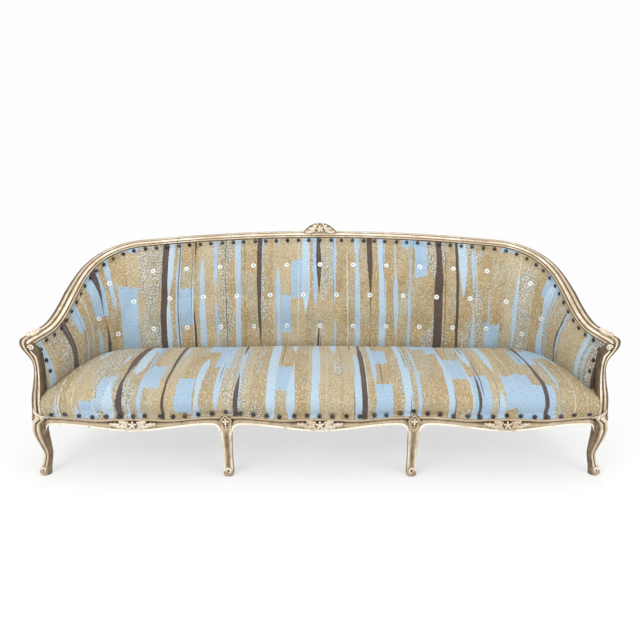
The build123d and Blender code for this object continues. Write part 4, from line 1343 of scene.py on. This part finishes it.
    def middle_leg(self) -> Skin:
        """Right middle leg: raised edges, a hollow down the front and a flower in a diamond at its head."""
        origin = Vector((LEG_X, WALL.front, 0))
        skin = self.leg(self.mid_sections, origin, 0.0, 2.0, True)
        levels = spread(0.036, self.neck_z + 0.004, 40)
        for side in Side:
            path = []
            for level in levels:
                width, depth, setback = section_at(self.mid_sections, level)
                x = LEG_X + side.value * (width / 2 - 0.004)
                path.append(Vector((x, WALL.front + setback - depth / 2 + 0.003, level)))
            skin.tube(path, spread(0.0036, 0.0058, len(levels)), 8)
        face = Vector((0, -1, 0.05))
        ground = WALL.front - 0.013
        corners = [Vector((LEG_X + x, ground, z)) for x, z in self.diamond]
        for start, end in zip(corners, corners[1:] + corners[:1]):
            middle = (start + end) / 2 + Vector((0, 0, -0.003))
            path = [bend(start, middle, end, t) for t in spread(0.0, 1.0, 8)]
            skin.tube(path, [0.0034] * len(path), 8, 0.62)
        skin.flower(Vector((LEG_X, ground - 0.001, 0.260)), face, 0.0155, 4, turn=math.pi / 4)
        for z, radius in ((0.236, 0.0045), (0.226, 0.0035)):
            skin.boss(Vector((LEG_X, ground, z)), face, radius, 0.004)
        self.toe(skin, origin, 0.0, 0.005, 0.0140)
        return skin

    def corner_leg(self) -> Skin:
        """Right corner leg, turned to the diagonal, with a folded bead where the stump meets it."""
        origin = Vector((POST_X, self.post_y, 0))
        turn = math.radians(45)
        skin = self.leg(self.corner_sections, origin, turn, 3.0, False)
        forward = Vector((math.sin(turn), -math.cos(turn), 0)) * 0.008
        self.toe(skin, origin + forward, math.radians(8), 0.0200, 0.0105)
        knots = spread(0.0, 1.0, len(self.fold))
        path, thick = [], []
        for t in spread(0.0, 1.0, 24):
            x, y, z = (spline(knots, column, t) for column in zip(*self.fold))
            path.append(Vector((POST_X + x, y, z)))
            thick.append(0.0010 + 0.0045 * smooth(t * 2.2) * smooth((1 - t) * 2.6))
        skin.tube(path, thick, 10, 0.8)
        return skin

    def build(self, paint: Material) -> None:
        """Make the three bays, the four legs and the carved sprays."""
        centre = self.bay(-LEG_X, LEG_X, (self.neck, self.neck))
        rail = centre.piece("front_bay_centre", paint)
        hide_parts("front_rail_centre")
        side_bay = self.bay(LEG_X, BAY_X, (self.neck, self.corner_neck))
        spray_x = (LEG_X + BAY_X) / 2
        self.spray(0.0).piece("front_carving_centre", paint)
        pieces = (
            ("front_bay", side_bay, "front_rail"),
            ("front_carving", self.spray(spray_x), None),
            ("middle_leg", self.middle_leg(), "front_mid_leg"),
            ("corner_leg", self.corner_leg(), "front_corner_leg"),
        )
        for name, skin, node in pieces:
            for hand, piece in skin.pair(name, paint):
                if node:
                    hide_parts(f"{node}_{hand}")


@dataclass(frozen=True)
class Inflation:
    """How cloth is blown out over its stuffing."""

    pressure: float
    cap: float
    frames: int = 20
    slack: float = 0.015

    def run(self, rows: list[list[Vector]], held: Sequence[float]) -> list[list[Vector]]:
        """Simulate a cover that is held at its seams, tufts and nailed edges.

        Args:
            rows: points of the cover at rest, row by row.
            held: how firmly each point is held, from 0 to 1, one row after another.

        Returns:
            Rows of where each point comes to lie, no further from its start than the cap.
        """
        skin = Skin()
        skin.grid(rows)
        sheet = bpy.data.objects.new("blown_cloth", skin.mesh("blown_cloth", outward=False))
        bpy.context.scene.collection.objects.link(sheet)
        group = sheet.vertex_groups.new(name="held")
        for index, weight in enumerate(held):
            if weight > 0:
                group.add([index], weight, "REPLACE")
        cloth = sheet.modifiers.new("cloth", "CLOTH")
        settings = cloth.settings
        settings.quality = 6
        settings.mass = 0.3
        settings.tension_stiffness = 12
        settings.compression_stiffness = 12
        settings.shear_stiffness = 4
        settings.bending_stiffness = 0.6
        settings.vertex_group_mass = "held"
        settings.use_pressure = True
        settings.uniform_pressure_force = self.pressure
        settings.shrink_min = -self.slack
        settings.effector_weights.gravity = 0.0
        cloth.collision_settings.use_collision = False
        cloth.point_cache.frame_start = 1
        cloth.point_cache.frame_end = self.frames
        scene = bpy.context.scene
        for step in range(1, self.frames + 1):
            scene.frame_set(step)
        shaped = sheet.evaluated_get(bpy.context.evaluated_depsgraph_get()).to_mesh()
        moved = []
        for start, vertex in zip(skin.points, shaped.vertices):
            shift = vertex.co - start
            if shift.length > self.cap:
                shift *= self.cap / shift.length
            moved.append(start + shift)
        mesh = sheet.data
        bpy.data.objects.remove(sheet)
        bpy.data.meshes.remove(mesh)
        scene.frame_set(1)
        wide = len(rows[0])
        return [moved[k : k + wide] for k in range(0, len(moved), wide)]


@dataclass(frozen=True)
class InsidePad:
    """Buttoned inside of the back and arms: one padded cover from stump to stump."""

    end: float = 1.4612
    nailed: float = 1.426
    foot: float = 0.345
    thick: float = 0.018
    tuft_spacing: float = 0.163
    tuft_rows: tuple = ((0.8, 0.0, 6), (0.515, 0.5, 7), (0.21, 0.0, 6))
    tuft_depth: float = 0.0105
    tuft_spread: float = 0.020
    tuft_reach: float = 0.08
    tuft_pin: float = 0.009
    top_gap: float = 0.002
    columns: int = 361
    blow: Inflation = Inflation(pressure=3.0, cap=0.009)

    def tufts(self) -> list[tuple[float, float]]:
        """Places of the buttons along the wall and in height."""
        places = []
        for share, shift, count in self.tuft_rows:
            for step in range(-count, count + 1):
                s = (step + shift) * self.tuft_spacing
                if abs(step + shift) <= count - shift:
                    rise = WALL.rail_z(s) - WALL.nail_strip - WALL.seam_high
                    places.append((s, WALL.seam_high + share * rise))
        return places

    def column(self, s: float) -> list[tuple[float, float]]:
        """Section of the cover's face, outward and up, from below the seat to the top rail."""
        out, up, radius = WALL.pad_arc(s)
        strip = WALL.rail_z(s) - WALL.nail_strip
        low = math.asin((WALL.seam_high - up) / radius)
        high = math.asin((strip - up) / radius)
        face = [(out - radius * math.cos(a), up + radius * math.sin(a)) for a in spread(low, high, 54)]
        foot = [(0.0, z) for z in spread(self.foot, WALL.seam_high, 4)[:-1]]
        edge = [(WALL.flare(s), z) for z in spread(strip, WALL.rail_z(s) - self.top_gap, 4)[1:]]
        return foot + face + edge

    def build(self, cloth: Material) -> None:
        """Blow the cover out between its buttons and close it behind."""
        tufts = self.tufts()
        stations = spread(-self.end, self.end, self.columns)
        rows, weave, held = [], [], []
        for s in stations:
            near = [(t, z) for t, z in tufts if abs(t - s) < self.tuft_reach]
            section = self.column(s)
            row, places, length = [], [], 0.0
            for j, (out, up) in enumerate(section):
                if j:
                    length += math.dist(section[j - 1], section[j])
                pull, pin = 0.0, 0.0
                for t, z in near:
                    apart = math.hypot(t - s, (z - up) * 1.04)
                    pull += self.tuft_depth * math.exp(-((apart / self.tuft_spread) ** 2))
                    pin = max(pin, 1.0 if apart < self.tuft_pin else 0.0)
                row.append(WALL.point(s, out + pull, up))
                places.append((s, length))
                edge = j < 3 or j > len(section) - 5 or abs(s) > self.nailed
                held.append(1.0 if edge else pin)
            rows.append(row)
            weave.append(places)
        closed, cloth_places = [], []
        for s, front, places in zip(stations, self.blow.run(rows, held), weave):
            top = WALL.rail_z(s) - self.top_gap
            back = [
                WALL.point(s, WALL.flare(s) + self.thick, top),
                WALL.point(s, self.thick, WALL.seam_high),
                WALL.point(s, self.thick, self.foot),
            ]
            closed.append(front + back)
            cloth_places.append(places + [(s, 0.7), (s, 0.9), (s, 1.0)])
        skin = Skin()
        skin.grid(closed, 0.5, cloth_places, loop=True, caps=True)
        pad = skin.piece("inside_back_and_arms", cloth)
        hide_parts("inside_back", "inside_arm_left", "inside_arm_right")


@dataclass(frozen=True)
class SeatPad:
    """Tight seat: crowned top, rolled front edge and a nailed apron."""

    side_end: float = 1.500
    front_half: float = 1.121
    apron_y: float = -0.376
    show_top: float = 0.272
    band: float = 0.012
    roll_top: float = 0.392
    roll_depth: float = 0.050
    roll_reach: float = 0.015
    crown: float = 0.020
    end_drop: float = 0.010
    clearance: float = 0.002
    under: float = 0.312
    tuck: float = 0.012
    tuck_reach: float = 0.022
    lumps: float = 0.0022
    lump_pitch: float = 5.0
    hem_points: int = 9
    roll_points: int = 26
    top_points: int = 52
    columns: int = 281
    blow: Inflation = Inflation(pressure=3.5, cap=0.012)

    def section(self) -> list[list[float]]:
        """The seat's profile, depth and height, from the apron's hem over the roll to the back seam."""
        hem_top = self.show_top + self.band
        hem = [[self.apron_y, z] for z in spread(self.show_top, hem_top, self.hem_points)]
        roll_back = (WALL.front + self.roll_depth, self.roll_top)
        roll_front = (self.apron_y - self.roll_reach, (hem_top + self.roll_top) / 2 + 0.012)
        roll = arc(hem[-1], roll_front, roll_back, self.roll_points)
        middle = ((roll_back[0] + WALL.seam_y) / 2, self.roll_top + self.crown)
        top = arc(roll_back, middle, (WALL.seam_y, WALL.seam_high), self.top_points)
        return hem + roll[1:] + top[1:]

    def build(self, cloth: Material) -> None:
        """Blow the cover out over the springs and close it below."""
        section = self.section()
        front_count = self.hem_points + self.roll_points - 1
        start_y = section[front_count - 1][0]
        depth = WALL.seam_y - start_y
        lengths = [0.0]
        for a, b in zip(section, section[1:]):
            lengths.append(lengths[-1] + math.dist(a, b))
        stations = spread(-self.side_end, self.side_end, self.columns)
        rows, weave, held = [], [], []
        for i, s in enumerate(stations):
            spot, away = WALL.plan(s)
            back = spot - away * self.clearance
            front_x = s / self.side_end * self.front_half
            end_y = max(back.y, start_y + 0.002)
            row, places = [], []
            for j, (y, z) in enumerate(section):
                x, share, length = front_x, 0.0, lengths[j]
                if j < front_count:
                    hem_share = 1 - smooth((z - self.show_top) / self.roll_depth)
                    z += (front_top(x) - self.show_top) * hem_share
                else:
                    share = max(y - start_y, 0.0) / depth
                    x = front_x + (back.x - front_x) * share
                    y = start_y + share * (end_y - start_y)
                    run = (y - start_y) / depth
                    z = self.roll_top + 4 * self.crown * run * (1 - run)
                    z += (WALL.seam_high - self.roll_top) * run
                    length = lengths[front_count - 1] + y - start_y
                drop = self.end_drop * (x / WALL.wrap_end) ** 2
                gap = (1 - share) * (end_y - start_y) + 0.004
                tuck = self.tuck * math.exp(-(abs(back.x - x) + gap) / self.tuck_reach)
                wave = 0.0
                if j > self.hem_points:
                    wave = self.lumps * noise.noise(Vector((x * self.lump_pitch, y * self.lump_pitch, 0.3)))
                row.append(Vector((x, y, z - drop * smooth((z - 0.29) / 0.06) - tuck + wave)))
                places.append((x, length))
                edge = j < 7 or j > len(section) - 3 or i < 2 or i > len(stations) - 3
                held.append(1.0 if edge else 0.0)
            rows.append(row)
            weave.append(places)
        closed, cloth_places = [], []
        for face, places in zip(self.blow.run(rows, held), weave):
            last, first = face[-1], face[0]
            hidden = [
                Vector((last.x, last.y, self.under)),
                Vector((first.x, min(WALL.front + 0.003, last.y), self.under)),
                Vector((first.x, WALL.front + 0.002, first.z)),
            ]
            closed.append(face + hidden)
            cloth_places.append(places + [(last.x, 0.8), (first.x, 1.3), (first.x, 1.4)])
        skin = Skin()
        skin.grid(closed, 0.5, cloth_places, loop=True, caps=True)
        pad = skin.piece("seat_cover", cloth)
        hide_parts("seat_pad")


@dataclass(frozen=True)
class OuterCovers:
    """Cloth stretched over the outside of the back and arms, and the dust cover under the seat."""

    end: float = 1.437
    cover_in: float = 0.0485
    bottom: float = 0.246
    thick: float = 0.0025
    top_gap: float = 0.002
    fullness: float = 0.004
    crease: float = 0.003
    crease_half: float = 0.03
    turn_length: float = 0.045
    weave_start: float = 5.0
    columns: int = 241
    levels: int = 36
    welt: float = 0.0042
    dust_z: float = 0.2327
    dust_front: float = -0.338
    dust_half: float = 1.43
    dust_out: float = 0.017
    dust_taper: float = 0.97
    dust_sag: float = 0.005
    notch_run: float = 0.012
    notches: tuple[Triple, ...] = ((LEG_X, 0.033, 0.040), (POST_X, 0.066, 0.060))
    rail: TopRail = TopRail()

    def turned(self, row: Sequence[Vector], share: float) -> list[Vector]:
        """Upright line of the outside cover where it turns in from its end to the back of the stump."""
        hand = math.copysign(1.0, row[0].x)
        line = []
        for point in row:
            _, edge = self.rail.stump_edges(point.z)
            seam = Vector((hand * (edge - 0.007), self.rail.stump_back - 0.001, point.z))
            line.append(point.lerp(seam, share))
        return line

    def sheet_area(self, rows: Sequence[Sequence[Vector]]) -> tuple[float, float, float]:
        """Flat width, length and area of a sheet.

        Args:
            rows: points of the sheet's face, row by row.

        Returns:
            The longest line across the rows, the longest row and the area between the points.
        """
        across = max(sum((a - b).length for a, b in zip(row, row[1:])) for row in zip(*rows))
        along = max(sum((a - b).length for a, b in zip(row, row[1:])) for row in rows)
        area = 0.0
        for one, two in zip(rows, rows[1:]):
            for a, b, c, d in zip(one, one[1:], two[1:], two):
                area += ((c - a).cross(d - b)).length / 2
        return across, along, area

    def close(self, rows: list[list[Vector]], ways: list[Vector], weave: list | None = None) -> Skin:
        """Give a sheet its thickness.

        Args:
            rows: points of the sheet's face, row by row.
            ways: which way each row faces.
            weave: cloth place of each point, if the finish needs it.

        Returns:
            The closed sheet.
        """
        closed, places = [], []
        for i, (row, way) in enumerate(zip(rows, ways)):
            back = [point - way * self.thick for point in row]
            closed.append(row + back[::-1])
            if weave:
                places.append(weave[i] + weave[i][::-1])
        skin = Skin()
        skin.grid(closed, 0.5, places or None, loop=True, caps=True)
        return skin

    def outside(self, cloth: Material) -> None:
        """Make the outside cover and the welt that edges it."""
        stations = spread(-self.end, self.end, self.columns)
        shares = spread(0.0, 1.0, self.levels)
        rows, weave = [], []
        for s in stations:
            top = WALL.rail_z(s) - self.top_gap
            row, places = [], []
            for share, height in zip(shares, spread(self.bottom, top, self.levels)):
                full = self.fullness * math.sin(math.pi * share)
                above = (height - WALL.seam_high) / (2 * self.crease_half)
                crease = smooth(0.5 + above) * smooth(0.5 - above)
                out = self.cover_in + self.thick / 2 + WALL.lean(s, height) + full + self.crease * crease
                row.append(WALL.point(s, out, height))
                places.append((s + self.weave_start, height))
            rows.append(row)
            weave.append(places)
        left, right = (rows[0], weave[0], stations[0]), (rows[-1], weave[-1], stations[-1])
        for share in (0.5, 1.0):
            turn = self.turn_length * share
            rows = [self.turned(left[0], share), *rows, self.turned(right[0], share)]
            weave = [[(u - turn, v) for u, v in left[1]], *weave, [(u + turn, v) for u, v in right[1]]]
            stations = [left[2], *stations, right[2]]
        ways = [WALL.plan(s)[1] for s in stations]
        skin = self.close(rows, ways, weave)
        cover = skin.piece("outside_cover", cloth)
        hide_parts("outside_back", "outside_arm_left", "outside_arm_right")
        across, along, area = self.sheet_area(rows)
        welt = Skin()
        for edge in (0, -1):
            line = [row[edge] + way * 0.001 for row, way in zip(rows, ways)]
            welt.tube(line, [self.welt] * len(line), 8)
        for row in (rows[0], rows[-1]):
            welt.tube(row, [self.welt] * len(row), 8)
        welt.piece("outside_welt", cloth)

    def underside(self, cloth: Material) -> None:
        """Make the dust cover, a little slack between the rails."""
        rows = []
        for s in spread(-self.dust_half, self.dust_half, 161):
            back, away = WALL.plan(s)
            back = back + away * self.dust_out
            front = Vector((back.x * self.dust_taper, self.dust_front, 0))
            back.y = max(back.y, self.dust_front + 0.03)
            row = []
            for t in spread(0.0, 1.0, 25):
                spot = front.lerp(back, t)
                notch = 0.0
                for x, wide, deep in self.notches:
                    apart = abs(abs(spot.x) - x)
                    notch = max(notch, deep * smooth((wide + self.notch_run - apart) / self.notch_run))
                y = max(spot.y, self.dust_front + notch + t * 0.02)
                sag = self.dust_sag * math.sin(math.pi * t)
                sag += 0.0015 * noise.noise(Vector((spot.x * 7, spot.y * 7, 2.0)))
                row.append(Vector((spot.x, y, self.dust_z - sag)))
            rows.append(row)
        skin = self.close(rows, [Vector((0, 0, -1))] * len(rows))
        cover = skin.piece("dust_cover_cloth", cloth)
        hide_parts("dust_cover")
        across, along, area = self.sheet_area(rows)


class HeadTree:
    """Geometry Nodes tree that sets one round head on every point of a mesh."""

    def __init__(self, name: str, segments: int, rings: int, dish: float) -> None:
        """Build the tree, with the head's radius, rise and finish as its inputs.

        Args:
            name: the tree's name.
            segments: facets round a head.
            rings: facets from its top to its foot.
            dish: how far its middle is sunk, as a share of its rise.
        """
        self.tree = bpy.data.node_groups.new(name, "GeometryNodeTree")
        self.socket("Geometry", "NodeSocketGeometry")
        self.radius = self.socket("Radius", "NodeSocketFloat")
        self.rise = self.socket("Rise", "NodeSocketFloat")
        self.finish = self.socket("Finish", "NodeSocketMaterial")
        self.socket("Geometry", "NodeSocketGeometry", "OUTPUT")
        inlet = self.node("NodeGroupInput")
        points, radius, rise, finish = inlet.outputs[:4]
        head = self.node(
            "GeometryNodeMeshUVSphere", {}, {"Segments": segments, "Rings": rings, "Radius": 1.0}
        )
        spot = self.node("GeometryNodeInputPosition")
        level = self.node(
            "ShaderNodeVectorMath", {"operation": "MULTIPLY"}, {0: spot.outputs[0], 1: (1, 1, 0)}
        )
        reach = self.node("ShaderNodeVectorMath", {"operation": "LENGTH"}, {0: level.outputs[0]})
        marked = self.node(
            "GeometryNodeStoreNamedAttribute",
            {"data_type": "FLOAT", "domain": "POINT"},
            {"Geometry": head.outputs["Mesh"], "Name": "rim", "Value": reach.outputs["Value"]},
        )
        rim = self.node("GeometryNodeInputNamedAttribute", {"data_type": "FLOAT"}, {"Name": "rim"})
        span = {"From Min": 0.35, "From Max": 0.75, "To Min": -dish, "To Max": 0.0}
        sunk = self.node(
            "ShaderNodeMapRange",
            {"interpolation_type": "SMOOTHSTEP"},
            {"Value": rim.outputs["Attribute"], **span},
        )
        drop = self.node("ShaderNodeCombineXYZ", {}, {2: sunk.outputs[0]})
        dished = self.node("GeometryNodeSetPosition", {}, {0: marked.outputs[0], "Offset": drop.outputs[0]})
        size = self.node("ShaderNodeCombineXYZ", {}, {0: radius, 1: radius, 2: rise})
        shaped = self.node("GeometryNodeTransform", {}, {0: dished.outputs[0], "Scale": size.outputs[0]})
        aim = self.node("GeometryNodeInputNamedAttribute", {"data_type": "FLOAT_VECTOR"}, {"Name": "aim"})
        turn = self.node(
            "FunctionNodeAlignRotationToVector", {"axis": "Z"}, {"Vector": aim.outputs["Attribute"]}
        )
        even = self.node(
            "FunctionNodeRandomValue", {"data_type": "FLOAT"}, {"Min": 0.94, "Max": 1.05, "Seed": 7}
        )
        chosen = [s for s in even.outputs if s.enabled][0]
        spots = self.node("GeometryNodeMeshToPoints", {}, {"Mesh": points})
        heads = {"Points": spots.outputs[0], "Instance": shaped.outputs[0]}
        heads |= {"Rotation": turn.outputs[0], "Scale": chosen}
        placed = self.node("GeometryNodeInstanceOnPoints", {}, heads)
        real = self.node("GeometryNodeRealizeInstances", {}, {0: placed.outputs[0]})
        soft = self.node("GeometryNodeSetShadeSmooth", {}, {0: real.outputs[0]})
        dressed = self.node(
            "GeometryNodeSetMaterial", {}, {"Geometry": soft.outputs[0], "Material": finish}
        )
        self.node("NodeGroupOutput", {}, {0: dressed.outputs[0]})

    def socket(self, name: str, kind: str, way: str = "INPUT") -> str:
        """Add one socket to the tree's outside and return its identifier."""
        return self.tree.interface.new_socket(name, in_out=way, socket_type=kind).identifier

    def node(self, kind: str, settings: dict | None = None, sockets: dict | None = None) -> Node:
        """Add one node, with its settings and its values or links."""
        return add_node(self.tree, kind, settings or {}, sockets or {})

    def piece(
        self,
        name: str,
        places: Sequence[tuple[Vector, Vector]],
        radius: float,
        rise: float,
        finish: Material,
    ) -> Object:
        """Set heads on their places and make them one plain mesh.

        Args:
            name: the piece's name.
            places: point and outward direction of each head.
            radius: the head's radius in metres.
            rise: how far it stands up.
            finish: its material.

        Returns:
            The piece, riding with the sofa.
        """
        mesh = bpy.data.meshes.new(f"{name}_places")
        mesh.from_pydata([tuple(spot) for spot, _ in places], [], [])
        aims = [c for _, aim in places for c in aim.normalized()]
        mesh.attributes.new("aim", "FLOAT_VECTOR", "POINT").data.foreach_set("vector", aims)
        holder = bpy.data.objects.new(f"{name}_holder", mesh)
        bpy.context.scene.collection.objects.link(holder)
        heads = holder.modifiers.new("heads", "NODES")
        heads.node_group = self.tree
        heads[self.radius] = radius
        heads[self.rise] = rise
        heads[self.finish] = finish
        graph = bpy.context.evaluated_depsgraph_get()
        made = bpy.data.meshes.new_from_object(holder.evaluated_get(graph))
        made.name = name
        holder.modifiers.remove(heads)
        bpy.data.objects.remove(holder)
        bpy.data.meshes.remove(mesh)
        return seat(bpy.data.objects.new(name, made), finish)


@dataclass(frozen=True)
class Trim:
    """Domed nails along every edge of the cover, and the buttons in its tufts."""

    nail_radius: float = 0.0092
    nail_rise: float = 0.0070
    spacing: float = 0.054
    front_y: float = -0.3790
    front_reach: float = 1.085
    front_count: int = 41
    lift: float = 0.013
    hop: float = 0.012
    hop_width: float = 0.039
    end_start: float = 1.03
    end_run: float = 0.05
    end_ahead: float = 0.006
    drop: float = 0.012
    stump_s: float = 1.4370
    stump_step: float = 0.046
    stump_gap: float = 0.009
    button_radius: float = 0.0120
    button_rise: float = 0.0050
    button_sink: float = 0.0065
    wander: float = 0.0022
    seed: int = 11

    def front_places(self, luck: random.Random) -> list[tuple[Vector, Vector]]:
        """Nails along the front rail, over the heads of the middle legs."""
        places = []
        for x in spread(-self.front_reach, self.front_reach, self.front_count):
            apart = abs(abs(x) - LEG_X)
            height = front_top(x) + self.lift + self.hop * smooth(1.6 - apart / self.hop_width)
            shake = luck.uniform(-1, 1) * self.wander
            ahead = self.end_ahead * smooth((abs(x) - self.end_start) / self.end_run)
            spot = Vector((x + luck.uniform(-1, 1) * self.wander * 2, self.front_y - ahead, height + shake))
            places.append((spot, Vector((0, -1, 0))))
        return places

    def edge_places(self, luck: random.Random) -> list[tuple[float, Vector, Vector]]:
        """Nails under the top rail on the right half, from the middle to the stump."""

        def spot(s: float) -> Vector:
            """Point on the strip that the nails go through."""
            return WALL.point(s, WALL.flare(s), WALL.rail_z(s) - self.drop * WALL.stretch(s))

        places, s = [], 0.0
        while s < WALL.hand_end - self.spacing:
            step = spot(s + STEP) - spot(s - STEP)
            aim = Vector((step.y, -step.x, 0)).normalized()
            shift = luck.uniform(-1, 1) * self.wander
            places.append((s, spot(s + shift), aim))
            s += self.spacing * STEP / (spot(s + STEP) - spot(s)).length
        return places

    def build(self, gunmetal: Material, pearl: Material, tufts: list[tuple[float, float]]) -> None:
        """Make every run of nails and the buttons."""
        luck = random.Random(self.seed)
        tree = HeadTree("domed_heads", segments=16, rings=10, dish=0.0)
        nail = (self.nail_radius, self.nail_rise, gunmetal)
        front = tree.piece("nails_front", self.front_places(luck), *nail)
        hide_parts("front_nails")
        edge = self.edge_places(luck)
        back = [(spot, aim) for s, spot, aim in edge if s < WALL.bow_length]
        flip = Vector((-1, 1, 1))
        other = [(spot * flip, aim * flip) for spot, aim in back[1:]]
        top = tree.piece("nails_back", back + other, *nail)
        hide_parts("back_nails")
        last = self.stump_s - self.spacing / 2
        arm = [(spot, aim) for s, spot, aim in edge if WALL.bow_length <= s < last]
        level = WALL.rail_z(self.stump_s) - WALL.nail_strip - self.stump_gap
        while level > WALL.seam_high + self.spacing / 2:
            arm.append(WALL.pad_spot(self.stump_s, level))
            level -= self.stump_step
        for side in Side:
            hand = side.name.lower()
            turn = Vector((side.value, 1, 1))
            places = [(spot * turn, aim * turn) for spot, aim in arm]
            nails = tree.piece(f"nails_arm_{hand}", places, *nail)
            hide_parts(f"arm_nails_{hand}")
        sunk = []
        for s, height in tufts:
            spot, aim = WALL.pad_spot(s, height)
            sunk.append((spot - aim * self.button_sink, aim))
        shells = HeadTree("dished_heads", segments=20, rings=14, dish=0.62)
        buttons = shells.piece("pearl_buttons", sunk, self.button_radius, self.button_rise, pearl)
        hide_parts("tuft_buttons")


def dress_solids() -> None:
    """Give a finish to the pieces that keep the form of the solids."""
    steel = Metal(tone(150, 132, 112), tone(96, 82, 70), 0.35).make("spring_steel")
    upright = (14.0, 14.0, 1.2)
    finishes = {
        "frame_wood": PlainWood(tone(196, 158, 112), tone(150, 112, 72)).make("bare_beech"),
        "webbing": PlainCloth(Weave.JUTE, tone(186, 160, 116), tone(120, 96, 62)).make("jute_webbing"),
        "hessian": PlainCloth(Weave.HESSIAN, tone(176, 146, 98), tone(98, 76, 46)).make("hessian"),
        "spring_steel": steel,
        "screw_steel": steel,
        "carved_wood": PlainWood(tone(148, 124, 92), tone(92, 70, 48), upright).make("aged_leg_wood"),
    }
    for entry in frame["record"]["subparts"]:
        node = frame["nodes"][entry["node"]]
        finish = finishes.get(entry["material_slot"])
        if finish is None or node.hide_render:
            continue
        node.data.materials.clear()
        node.data.materials.append(finish)
        log.info("%s dressed in %s", node.name, finish.name)


@dataclass(frozen=True)
class Studio:
    """Pale floor, white surround, soft light and the camera."""

    camera_place: Triple = (0.0, -2.465, 1.285)
    tilt: float = math.radians(74)
    lens: float = 31.72
    sensor: float = 36.0
    sky: float = 0.62
    white: Rgb = (0.985, 0.985, 0.985)
    floor_half: float = 9.0
    lamp_aim: Triple = (0.0, 0.0, 0.5)
    lamps: tuple = (
        ("key", (-2.2, -3.2, 2.6), 2.4, 82.0),
        ("fill", (2.6, -2.8, 1.9), 2.6, 54.0),
        ("top", (0.0, -0.2, 3.6), 3.0, 54.0),
        ("rear", (0.8, 3.6, 2.4), 2.8, 40.0),
    )

    def floor(self) -> None:
        """Lay a pale floor that fades to white away from the sofa."""
        mesh = bpy.data.meshes.new("floor")
        corners = ((-1, -1), (1, -1), (1, 1), (-1, 1))
        points = [(x * self.floor_half, y * self.floor_half, 0) for x, y in corners]
        mesh.from_pydata(points, [], [(0, 1, 2, 3)])
        plane = bpy.data.objects.new("floor", mesh)
        bpy.context.scene.collection.objects.link(plane)
        bench = Bench("floor_white")
        x, y, _ = bench.parts(bench.place())
        away = bench.value("ShaderNodeMath", {"operation": "POWER"}, {0: (x * x * 0.45 + y * y), 1: 0.5})
        path = bench.node("ShaderNodeLightPath")
        rays = ("Is Camera Ray", "Is Glossy Ray", "Is Transmission Ray")
        camera, glossy, through = (Shade(bench, path.outputs[ray]) for ray in rays)
        seen = camera + glossy + through
        glow = bench.node("ShaderNodeEmission", {}, {"Color": self.white, "Strength": 1.0})
        matt = bench.node("ShaderNodeBsdfDiffuse", {}, {"Color": (0.9, 0.9, 0.9)})
        share = (away.ease(0.75, 1.5) * 0.4 + 0.6) * seen.above(0.5)
        both = bench.node("ShaderNodeMixShader", {}, {0: share, 1: matt.outputs[0], 2: glow.outputs[0]})
        bench.node("ShaderNodeOutputMaterial", {}, {"Surface": both.outputs[0]})
        mesh.materials.append(bench.material)
        plane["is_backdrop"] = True

    def surround(self) -> None:
        """Set a world that lights softly and shows white to the camera."""
        world = bpy.data.worlds.new("studio")
        bpy.context.scene.world = world
        world.use_nodes = True
        tree = world.node_tree
        tree.nodes.clear()
        path = add_node(tree, "ShaderNodeLightPath", {}, {})
        soft = add_node(tree, "ShaderNodeBackground", {}, {"Color": (1.0, 1.0, 1.0), "Strength": self.sky})
        white = add_node(tree, "ShaderNodeBackground", {}, {"Color": self.white, "Strength": 1.0})
        ends = {0: path.outputs["Is Camera Ray"], 1: soft.outputs[0], 2: white.outputs[0]}
        mix = add_node(tree, "ShaderNodeMixShader", {}, ends)
        add_node(tree, "ShaderNodeOutputWorld", {}, {"Surface": mix.outputs[0]})

    def lamp(self, name: str, place: Vector, size: float, power: float) -> None:
        """Hang one soft lamp that faces the sofa."""
        light = bpy.data.lights.new(name, "AREA")
        light.size = size
        light.energy = power
        lamp = bpy.data.objects.new(name, light)
        lamp.location = place
        lamp.rotation_euler = (Vector(self.lamp_aim) - place).to_track_quat("-Z", "Y").to_euler()
        bpy.context.scene.collection.objects.link(lamp)

    def build(self) -> None:
        """Set the floor, the light and the camera."""
        scene = bpy.context.scene
        scene.view_settings.view_transform = "Standard"
        self.floor()
        self.surround()
        for name, place, size, power in self.lamps:
            self.lamp(name, Vector(place), size, power)
        data = bpy.data.cameras.new("photo_camera")
        data.sensor_width = self.sensor
        data.lens = self.lens
        camera = bpy.data.objects.new("photo_camera", data)
        camera.location = self.camera_place
        camera.rotation_euler = (self.tilt, 0.0, 0.0)
        scene.collection.objects.link(camera)
        scene.camera = camera


def main() -> None:
    """Build the sofa's pieces in order."""
    logging.basicConfig(level=logging.INFO, format="%(name)s %(message)s")
    paint = CarvedPaint().make("carved_paint")
    cover = StripedCloth().make("striped_cover")
    seat_cloth = StripedCloth(shift=3.37).make("striped_seat")
    outside = StripedCloth(shift=8.1).make("striped_outside")
    dust = PlainCloth(Weave.BOTTOMING, tone(58, 56, 54), tone(30, 29, 28)).make("bottoming_cloth")
    gunmetal = Metal(tone(86, 82, 84), tone(42, 38, 38), 0.16).make("gunmetal")
    pearl = Pearl().make("pearl")
    Studio().build()
    TopRail().build(paint)
    RailCarving().build(paint)
    FrontFrame().build(paint)
    inside = InsidePad()
    inside.build(cover)
    SeatPad().build(seat_cloth)
    covers = OuterCovers()
    covers.outside(outside)
    covers.underside(dust)
    Trim().build(gunmetal, pearl, inside.tufts())
    dress_solids()
    boxes = {"cad": CAD_BOX, "visual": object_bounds()}
    {key: [list(corner) for corner in pair] for key, pair in boxes.items()}


if __name__ == "__main__":
    main()
